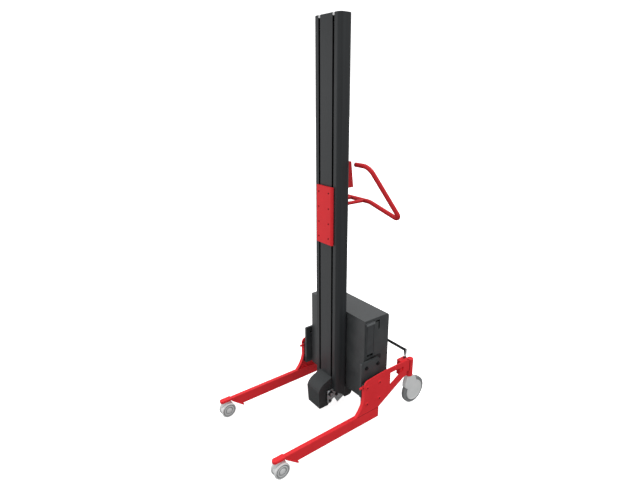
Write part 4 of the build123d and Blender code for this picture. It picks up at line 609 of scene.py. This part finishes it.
# %% Painted shade strips on the slots' cheeks
# Near-black strips on the slots' cheeks: painted shade.
SLOT_PAINTED_SHADE = coated("black_painted_slot_shade", "#050505", "#090909", 20, (0.5, 0.6), 3, 0.02, IOR=1.3)
SLOT_X = 40 * MM
SLOT_HALF = 5.25 * MM
SHADE_STRIP_T = 0.3 * MM
SHADE_STRIP_W = 4.6 * MM
SHADE_STRIP_DEPTH = 2.5 * MM
SHADE_STRIP_FOOT = 175 * MM
SHADE_STRIP_BELOW_TOP = 1 * MM
cheek = SLOT_HALF - SHADE_STRIP_T / 2
shade_strip_z = np.array([SHADE_STRIP_FOOT, mast_high.z - SHADE_STRIP_BELOW_TOP])
cheeks_x = (-SLOT_X - cheek, -SLOT_X + cheek, SLOT_X - cheek, SLOT_X + cheek)
shade_strip = oval(SHADE_STRIP_T, SHADE_STRIP_W, BOXY, 16)
shade_strips = [swept(route(x, mast_low.y + SHADE_STRIP_DEPTH, shade_strip_z), shade_strip, BACK) for x in cheeks_x]
make_piece("slot_shade_strips", shade_strips, SLOT_PAINTED_SHADE, "frame")

# %% [markdown]
# ## Weld beads
# The leg plates, castor heads and toe bars are welded and then painted, so their seams are soft
# ripples under the red coat. A displaced strip could show them, but a round section whose
# size swells with every ripple reads well from near and far.

# %% A bead along a seam
RIPPLE = 3.2 * MM
SWELL = 0.12
BEAD_RADIUS = 1.6 * MM
BEAD_STEP = 0.8 * MM


def bead(start, end, up):
    """A round section along a straight seam, its size a sine wave of the way along it: `SWELL`
    up and down with every ripple."""
    start, end = np.array(start, dtype=float), np.array(end, dtype=float)
    length = np.linalg.norm(end - start)
    way = np.linspace(0, 1, max(int(length / BEAD_STEP), 8))
    swell = 1 + SWELL * np.sin(2 * np.pi * way * length / RIPPLE)
    round_section = oval(2 * BEAD_RADIUS, 2 * BEAD_RADIUS, ROUND, 12)
    return swept(start + way[:, None] * (end - start), round_section, up, swell)


# %% Beads on the red pieces
PLATE_T = 6 * MM
PLATE_SEAM_INSET = 16 * MM
HEAD_SEAM_FOOT = 34 * MM
HEAD_SEAM_TOP = 3 * MM
TOE_SEAM_INSET = 2 * MM
plate_low, plate_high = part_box("leg_plate_right")
leg_low, leg_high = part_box("leg_tube_right")
toe_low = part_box("toe_bar_right")[0]
head_low, head_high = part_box("castor_head_right")
inner = plate_high.x - PLATE_T
seams = []
for side in (1, -1):
    x = side * inner
    plate_front = (x, plate_low.y + PLATE_SEAM_INSET, leg_high.z)
    plate_back = (x, leg_high.y, leg_high.z)
    seams.append(bead(plate_front, plate_back, UP))
    head_foot = (x, plate_high.y, head_low.z + HEAD_SEAM_FOOT)
    head_top = (x, plate_high.y, plate_high.z - HEAD_SEAM_TOP)
    seams.append(bead(head_foot, head_top, BACK))
    toe_inner = (side * (leg_low.x + TOE_SEAM_INSET), leg_low.y, leg_high.z)
    toe_outer = (side * (leg_high.x - TOE_SEAM_INSET), leg_low.y, leg_high.z)
    seams.append(bead(toe_inner, toe_outer, UP))
make_piece("weld_beads", seams, RED, "frame")

# %% [markdown]
# Each leg's nose is closed by a slanted plate that is a little wider than the tube and runs on
# below it as a lip. Where the leg plate meets the leg's outer face, a thin dark red line paints the
# shade of the joint, and a broader one paints the shade down the weld between each castor head's
# web and its stem tube.

# %% Nose plates and joints
NOSE_RUN = 49 * MM
NOSE_DROP = 2.4 * MM
NOSE = oval(20.5 * MM, 6.0 * MM, BOXY)
LIP = np.array([0.1, 0.6, 1.0, 1.16])[:, None]
JOINT = oval(1.0 * MM, 2.4 * MM, 0.6, 16)
JOINT_FRONT, JOINT_BACK = 4 * MM, 0.5 * MM
CREASE = oval(3.0 * MM, 5.0 * MM, ROUND, 16)
CREASE_Z = np.array([32 * MM, 80 * MM])
WEB_INSET, STEM_INSET = 5 * MM, 25 * MM
leg_middle = (leg_low + leg_high) / 2
slope = np.array((0, NOSE_RUN, leg_low.z - toe_low.z))
seam_y = np.array([plate_low.y + JOINT_FRONT, leg_high.y - JOINT_BACK])
noses, joints = [], []
for side in (1, -1):
    nose_top = np.array((side * leg_middle.x, leg_low.y, toe_low.z - NOSE_DROP))
    noses.append(swept(nose_top + LIP * slope, NOSE, UP))
    joints.append(swept(route(side * leg_high.x, seam_y, leg_high.z), JOINT, UP))
    crease = route(side * (head_high.x - WEB_INSET), head_high.y - STEM_INSET, head_low.z + CREASE_Z)
    joints.append(swept(crease, CREASE, BACK))
make_piece("nose_plates", noses, RED, "frame")
# The dark red lines paint the shade in the joints and creases.
make_piece("plate_joint_shade", joints, RED_PAINTED_SHADE, "frame")

# %% [markdown]
# The handle's two stubs are welded to the mast all the way round: a small fillet ring each. Their
# height is worked out down the handle's slanted bar from its top.

# %% Stub rings
STUB_RING = [(7.0, 0, 0), (9.6, 0, 0), (9.3, 0.7, 0), (8.3, 1.3, 0), (7.5, 2.3, 0), (7.0, 2.6, 0),
             (7.0, 0, 0)]
STUB_X = 38 * MM
GRIP_RADIUS = 9 * MM
BAR_LENGTH = 169.3 * MM
BAR_SLANT = math.radians(25.8)
handle_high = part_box("handle")[1]
stub_z = handle_high.z - GRIP_RADIUS - BAR_LENGTH * math.cos(BAR_SLANT)
rings = [turned(STUB_RING, (x, mast_high.y, stub_z), BACK) for x in (-STUB_X, STUB_X)]
make_piece("stub_rings", rings, RED, "frame")

# %% [markdown]
# ## Pressed and moulded plates
# Plugs, covers and louvres are low pillows: a rounded rectangle that draws in as it rises. Bevelled
# boxes would do, but the same superellipse gives every corner the soft look of a moulding.

# %% A pillow on a face
def pillow(rows, at, across, up, power=0.22, steps=64):
    """Rounded rectangles stacked outward from a face. Each row is (width, height, lift) in mm."""
    width, height, lift = np.array(rows, dtype=float).T[:, :, None, None] * MM
    unit = oval(2, 2, power, steps)
    across, up = np.array(across, dtype=float), np.array(up, dtype=float)
    flat = unit[:, :1] * across * width / 2 + unit[:, 1:] * up * height / 2
    return lattice(np.array(at, dtype=float) + flat + lift * np.cross(across, up))


# %% Plugs in the leg tubes' open ends
LEG_PLUG = [(0, 0, 0), (17.6, 47.6, 0), (17.6, 47.6, 1.6), (16.4, 46.4, 2.4), (9, 38, 2.9), (0, 0, 3.0)]
plug_places = [(side * leg_middle.x, leg_high.y, leg_middle.z) for side in (1, -1)]
plugs = [pillow(LEG_PLUG, at, LEFT, UP) for at in plug_places]
make_piece("leg_end_plugs", plugs, ABS, "frame")

# %% [markdown]
# A white nylon stop closes the top of each slot, flush with the mast's face.

# %% Slot stops
SLOT_STOP = [(0, 0, 0), (10, 9.4, 0), (10, 9.4, 4.2), (9.2, 8.6, 4.8), (0, 0, 4.9)]
STOP_DROP = 5.4 * MM
STOP_DEPTH = 5 * MM
stop_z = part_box("mast_cap")[1].z - STOP_DROP
stop_places = [(x, mast_low.y + STOP_DEPTH, stop_z) for x in (-SLOT_X, SLOT_X)]
stops = [pillow(SLOT_STOP, at, RIGHT, UP) for at in stop_places]
make_piece("slot_stops", stops, NYLON, "frame")

# %% [markdown]
# The housing's back has a service cover over the electronics, with six screws and two columns of
# louvres that let the warm air out.

# %% Service cover and louvres
COVER_PLATE = [(0, 0, 0), (286, 226, 0), (286, 226, 1.0), (285.2, 225.2, 1.6), (0, 0, 1.6)]
LOUVRE = [(0, 0, 0), (74, 8, 0), (73, 7, 2.0), (70, 5, 3.4), (64, 2, 4.0), (0, 0, 4.0)]
COVER_CORNER, LOUVRE_CORNER = 0.1, 0.6
COVER_T = 1.6 * MM
COVER_DROP = 150 * MM
LOUVRE_X = 62 * MM
LOUVRE_PITCH = 18 * MM
case_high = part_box("housing_shell")[1]
cover_z = case_high.z - COVER_DROP
face_y = case_high.y + COVER_T
louvre_z = cover_z + np.arange(-2, 3) * LOUVRE_PITCH
louvre_places = [(x, face_y, z) for x in (-LOUVRE_X, LOUVRE_X) for z in louvre_z]
cover = [pillow(COVER_PLATE, (0, case_high.y, cover_z), LEFT, UP, COVER_CORNER, 96)]
cover += [pillow(LOUVRE, at, LEFT, UP, LOUVRE_CORNER) for at in louvre_places]
make_piece("service_cover", cover, BLACK, "frame")

# %% Screws of the service cover
PANEL_SCREW = [(0, 0, 0), (4.2, 0, 0), (4.2, 0.6, 0), (3.6, 1.5, 0), (2.6, 1.9, 0), (9, 1.9, 1.5),
               (9, 0.7, 1.5), (0, 0.6, 0)]
SCREW_X = 133 * MM
SCREW_Z = 103 * MM
screw_places = [(x, face_y, cover_z + z) for x in (-SCREW_X, 0, SCREW_X) for z in (-SCREW_Z, SCREW_Z)]
screws = [turned(PANEL_SCREW, at, BACK) for at in screw_places]
make_piece("service_screws", screws, DARK_STEEL, "frame")

# %% [markdown]
# The battery is held by a catch along its top edge, in a lighter grey that paints the highlight of a lit top
# bevel.
# A black pad in the gap between each side bracket and the housing paints the shade there.

# %% Battery catch and bracket shade pads
CATCH = [(0, 0, 0), (46, 9, 0), (46, 9, 0.8), (44.6, 7.2, 2.0), (0, 0, 2.0)]
# Black pads in the gap between bracket and housing: painted shade.
SHADE_PAD = [(0, 0, 0), (70, 24, 0), (70, 24, 1.2), (69, 23, 1.6), (0, 0, 1.6)]
CATCH_DROP = 12 * MM
SHADE_PAD_Y = 119.5 * MM
SHADE_PAD_Z = 291 * MM
bay_low, bay_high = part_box("battery_cassette")
catch_at = (bay_high.x, (bay_low.y + bay_high.y) / 2, bay_high.z - CATCH_DROP)
catch = pillow(CATCH, catch_at, BACK, UP)
# The catch's lighter grey is a painted highlight.
make_piece("battery_catch", [catch], CATCH_HIGHLIGHT_GREY, "battery")
shade_pad_places = [((side * case_high.x, SHADE_PAD_Y, SHADE_PAD_Z), (0, side, 0)) for side in (1, -1)]
shade_pads = [pillow(SHADE_PAD, at, across, UP) for at, across in shade_pad_places]
make_piece("bracket_shade_pads", shade_pads, RUBBER_AND_PAINTED_SHADE, "frame")

# %% [markdown]
# ## Controls
# The two lift buttons carry a raised arrow each, and the stop button sits in a yellow collar. The
# slanted panel's normal comes from the buttons' own sliding axis in the record.

# %% The slanted panel
PANEL_TOP_DEPTH = 35
box_low, box_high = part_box("control_box")
record_joints = frame["record"]["behaviour"]["joints"]
lift_axis = next(joint["axis"] for joint in record_joints if joint["child"] == "up_button")
panel = np.array(lift_axis, dtype=float)
panel *= np.sign(panel[1]) / np.linalg.norm(panel)
print("panel normal", panel.round(3))


def on_panel(x, drop, lift):
    """A point on the slanted panel: `drop` mm below its top edge, `lift` mm out along its normal."""
    lean = panel[2] / panel[1]
    foot = np.array([x, box_low.y + (PANEL_TOP_DEPTH + lean * drop) * MM, box_high.z - drop * MM])
    return foot + lift * MM * panel


# %% Arrows and collar
ARROW = [(0, 0, 0), (9, 0, 2.3), (9, 0.5, 2.3), (9, 0.8, 1.9), (0, 0.8, 0)]
ARROW_DROP = 62
ARROW_LIFT = 3.95
for name, turn in (("up_button", -np.pi / 2), ("down_button", np.pi / 2)):
    low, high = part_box(name)
    foot = on_panel((low.x + high.x) / 2, ARROW_DROP, ARROW_LIFT)
    arrow = turned(ARROW, foot, panel, sides=3, turn=turn)
    make_piece(name.replace("button", "arrow"), [arrow], NYLON, name)

COLLAR = [(14.9, 0, 0), (19.5, 0, 0), (19.5, 1.6, 0), (18.6, 2.8, 0), (15.6, 2.8, 0), (14.9, 2.2, 0),
          (14.9, 0, 0)]
COLLAR_DROP = 27
collar = turned(COLLAR, on_panel(0, COLLAR_DROP, 0), panel, steps=72)
make_piece("stop_collar", [collar], RING_YELLOW, "frame")

# %% [markdown]
# The control box is closed by four small screws, two on each side.

# %% Control box screws
BOX_SCREW_Y = 12 * MM
BOX_SCREW_Z = 14 * MM
screw_y = box_low.y + BOX_SCREW_Y
screws = both_sides(PANEL_SCREW, box_high.x, screw_y, box_low.z + BOX_SCREW_Z)
screws += both_sides(PANEL_SCREW, box_high.x, screw_y, box_high.z - BOX_SCREW_Z)
make_piece("control_screws", screws, DARK_STEEL, "frame")

# %% [markdown]
# ## Carriage and brake fittings
# The tool holes are lined with blind thread inserts that were coated with the plate. Their crests
# are drawn as rings: the helix of a real thread can't be told from rings at this size. A red dust
# plug closes each a few millimetres in. A zinc pin with a domed head goes through each end of the
# brake bar.

# %% Thread inserts
THREAD = 1.25
FIRST_CREST, LAST_CREST = 0.4, 3.6
ROOT_RADIUS, CREST_RADIUS = 3.75, 3.35
HOLE_ROWS = 4
HOLE_X = 30 * MM
HOLE_PITCH = 60 * MM
depth = np.arange(FIRST_CREST, LAST_CREST, THREAD / 2)
bore = np.where(np.arange(len(depth)) % 2, ROOT_RADIUS, CREST_RADIUS)
inside = np.stack([bore, depth, np.zeros_like(depth)], axis=1)
INSERT = [(4.15, 9.9, 0), (4.15, 0.2, 0), (3.9, 0.2, 0), *inside, (3.2, 3.8, 0), (0, 3.5, 0), (0, 9.9, 0),
          (4.15, 9.9, 0)]
tool_low, tool_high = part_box("carriage_plate")
hole_steps = np.arange(HOLE_ROWS) - (HOLE_ROWS - 1) / 2
hole_z = (tool_low.z + tool_high.z) / 2 + hole_steps * HOLE_PITCH
hole_places = [(x, tool_low.y, z) for x in (-HOLE_X, HOLE_X) for z in hole_z]
inserts = [turned(INSERT, at, BACK, steps=24) for at in hole_places]
make_piece("thread_inserts", inserts, RED, "carriage")

# %% Brake pins
PIN = [(0, 0, 0), (4.2, 0, 0), (4.2, 0.7, 0), (3.4, 1.5, 0), (0, 1.8, 0)]
EYE_RADIUS = 6.5 * MM
bar_low, bar_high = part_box("brake_bar")
bar_y = (bar_low.y + bar_high.y) / 2
bar_z = bar_high.z - EYE_RADIUS
make_piece("brake_pins", both_sides(PIN, bar_high.x, bar_y, bar_z), ZINC, "brake")

# %% [markdown]
# The foot bar has a ribbed rubber sleeve, so that a shoe doesn't slip off it.

# %% Foot sleeve
SLEEVE_END = 198
RIB_END = 196
RIB_STEP = 2
RIB_RADIUS, VALLEY_RADIUS = 6.3, 5.9
ribs = np.arange(-RIB_END, RIB_END + RIB_STEP, RIB_STEP, dtype=float)
rib_radius = np.where(np.arange(len(ribs)) % 4 < 2, RIB_RADIUS, VALLEY_RADIUS)
ribbed = np.stack([rib_radius, ribs, np.zeros_like(ribs)], axis=1)
SLEEVE = [(4.0, -SLEEVE_END, 0), (5.6, -SLEEVE_END, 0), *ribbed, (5.6, SLEEVE_END, 0), (4.0, SLEEVE_END, 0),
          (4.0, -SLEEVE_END, 0)]
sleeve = turned(SLEEVE, (0, bar_y, bar_z), RIGHT, steps=24)
make_piece("foot_sleeve", [sleeve], RUBBER_AND_PAINTED_SHADE, "brake")

# %% [markdown]
# The links of the brake slide through steel bushes in the castor heads, and carry sleeves that stop
# their stroke just above those bushes.

# %% Link sleeves and bushes
BUSH = [(2.6, 0, 0), (4.0, 0, 0), (3.8, 1.0, 0), (2.6, 1.1, 0), (2.6, 0, 0)]
LINK_SLEEVE = [(2.3, 17.8, 0), (2.7, 17.8, 0), (2.9, 18.2, 0), (2.9, 36, 0), (2.3, 36, 0), (2.3, 17.8, 0)]
LINK_INSET = 14 * MM
LINK_HALF = 5 * MM
link_x = head_high.x - LINK_INSET
link_places = [(x, bar_y + y, head_high.z) for x in (-link_x, link_x) for y in (-LINK_HALF, LINK_HALF)]
sleeves = [turned(LINK_SLEEVE, at, UP, steps=32) for at in link_places]
bushes = [turned(BUSH, at, UP, steps=32) for at in link_places]
make_piece("link_sleeves", sleeves, DARK_STEEL, "brake")
make_piece("link_bushes", bushes, DARK_STEEL, "frame")

# %% [markdown]
# ## Rear castor wheels
# A rear wheel's tread is a rubber tyre with a flat face, shallow grooves and tight shoulders, and it
# laps over the rim in a thin band. The CAD tread is plain and round, so a turned profile stands for
# it. Each round cheek of the fork ends in a moulded ridge, which is an oval carried round the axle.

# %% Tyres, tread bands and cheek ridges
SHOULDER = np.array([(51, 8.5), (59.6, 8.5), (61.2, 8.0), (62.1, 6.9), (62.5, 5.4), (62.5, 3.4), (62.0, 3.1),
                     (62.0, 2.5), (62.5, 2.2)])
BAND = [(46.0, 0, 0), (51.4, 0, 0), (51.4, 0.3, 0), (46.0, 0.3, 0), (46.0, 0, 0)]
RIDGE_RADIUS = 45.2 * MM
RIDGE_FROM, RIDGE_TO = 74, -196
RIDGE = oval(3.6 * MM, 2.2 * MM, ROUND, 16)
tyre = np.concatenate([SHOULDER * (1, -1), SHOULDER[::-1], SHOULDER[:1] * (1, -1)])
TYRE = np.concatenate([tyre, np.zeros((len(tyre), 1))], axis=1)
sweep_angle = np.radians(np.linspace(RIDGE_FROM, RIDGE_TO, 120))
ridge_y = RIDGE_RADIUS * np.cos(sweep_angle)
ridge_z = RIDGE_RADIUS * np.sin(sweep_angle)
for side in ("right", "left"):
    body = "rear_wheel_" + side
    low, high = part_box(body)
    middle = (low + high) / 2
    faces = [((high.x, middle.y, middle.z), RIGHT), ((low.x, middle.y, middle.z), LEFT)]
    bands = [turned(BAND, at, out, steps=96) for at, out in faces]
    make_piece("tread_bands_" + side, bands, TREAD, body)
    made = turned(TYRE, middle, RIGHT, steps=128)
    make_piece("grooved_tyre_" + side, [made], TREAD, body, ["rear_tread_" + side])
    low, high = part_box("rear_hood_" + side)
    rims = [route(face, middle.y + ridge_y, middle.z + ridge_z) for face in (low.x, high.x)]
    ridges = [swept(rim, RIDGE, RIGHT) for rim in rims]
    make_piece("cheek_ridges_" + side, ridges, NYLON, "rear_swivel_" + side)

# %% [markdown]
# ## Floor, wall and light
# The stacker stands in a white studio: a pale floor and a round wall far behind it, both glowing a
# little so that they stay white in every view. They are for the camera alone. The light on the
# machine comes from a dome that is bright overhead, less than half as bright round the horizon and
# dim below, so tops are light and sides are deep. A tall soft lamp at the front left brightens the
# mast's face. It reaches below the floor, in place of the light that a real floor would throw back
# there.

# %% Floor and wall
PALE = coated("pale_studio_paint", "#f4f4f4", "#f6f6f6", 400, (0.8, 0.9), 60, 0.02,
              Emission_Color=(1, 1, 1, 1), Emission_Strength=0.75)
WALL_RADIUS = 28.0
WALL_HEIGHT = 30.0
angle = np.linspace(0, 2 * np.pi, 96, endpoint=False)
rim = route(WALL_RADIUS * np.cos(angle), WALL_RADIUS * np.sin(angle), 0)
points, quads, _ = lattice(np.stack([np.zeros_like(rim), rim, rim + (0, 0, WALL_HEIGHT)]))
studio_mesh = bpy.data.meshes.new("studio_floor")
studio_mesh.from_pydata(points.tolist(), [], quads.tolist())
studio_mesh.materials.append(PALE)
studio = bpy.data.objects.new("studio_floor", studio_mesh)
scene.collection.objects.link(studio)
studio.visible_diffuse = False
studio.visible_glossy = False
studio.visible_shadow = False
studio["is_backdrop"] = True
print("studio floor,", len(quads), "faces")

# %% Dome
DOWN_LIGHT = 0.2
HORIZON_LIGHT = 0.58
TOP_LIGHT = 1.4
DARK_BELOW = -0.4
world = bpy.data.worlds.new("studio")
scene.world = world
world.use_nodes = True
sky = world.node_tree
sky.nodes.clear()
heading = add(sky, "ShaderNodeTexCoord").outputs["Generated"]
rise = add(sky, "ShaderNodeSeparateXYZ", {"Vector": heading}).outputs["Z"]
below = add(sky, "ShaderNodeMapRange", {"Value": rise, "From Min": DARK_BELOW, "From Max": 0.0,
                                        "To Min": DOWN_LIGHT, "To Max": HORIZON_LIGHT}).outputs["Result"]
above = add(sky, "ShaderNodeMapRange", {"Value": rise, "To Max": TOP_LIGHT - HORIZON_LIGHT}).outputs["Result"]
bright = add(sky, "ShaderNodeMath", {0: below, 1: above}, operation="ADD")
dome = add(sky, "ShaderNodeBackground", {"Color": (1, 1, 1, 1), "Strength": bright.outputs[0]})
add(sky, "ShaderNodeOutputWorld", {"Surface": dome.outputs[0]})
print("dome from", DOWN_LIGHT, "below to", TOP_LIGHT, "overhead")

# %% Lamp
LAMP_PLACE = Vector((-2.2, -1.75, 0.0))
LAMP_WIDTH = 1.8
LAMP_HEIGHT = 3.8
LAMP_WATTS = 19
lamp_data = bpy.data.lights.new("front_left", "AREA")
lamp_data.shape = "RECTANGLE"
lamp_data.size = LAMP_WIDTH
lamp_data.size_y = LAMP_HEIGHT
lamp_data.energy = LAMP_WATTS
lamp = bpy.data.objects.new("front_left", lamp_data)
scene.collection.objects.link(lamp)
lamp.location = LAMP_PLACE
lamp.rotation_euler = (-LAMP_PLACE).to_track_quat("-Z", "Y").to_euler()
print("lamp", LAMP_WIDTH, "by", LAMP_HEIGHT, "m")

# %% [markdown]
# ## Size of the dressed model
# The dressed model is meant to stay inside the CAD box; its own box is printed.

# %% Print the visual box
low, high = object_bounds()
print("visual box", [round(v, 4) for v in (*low, *high)])
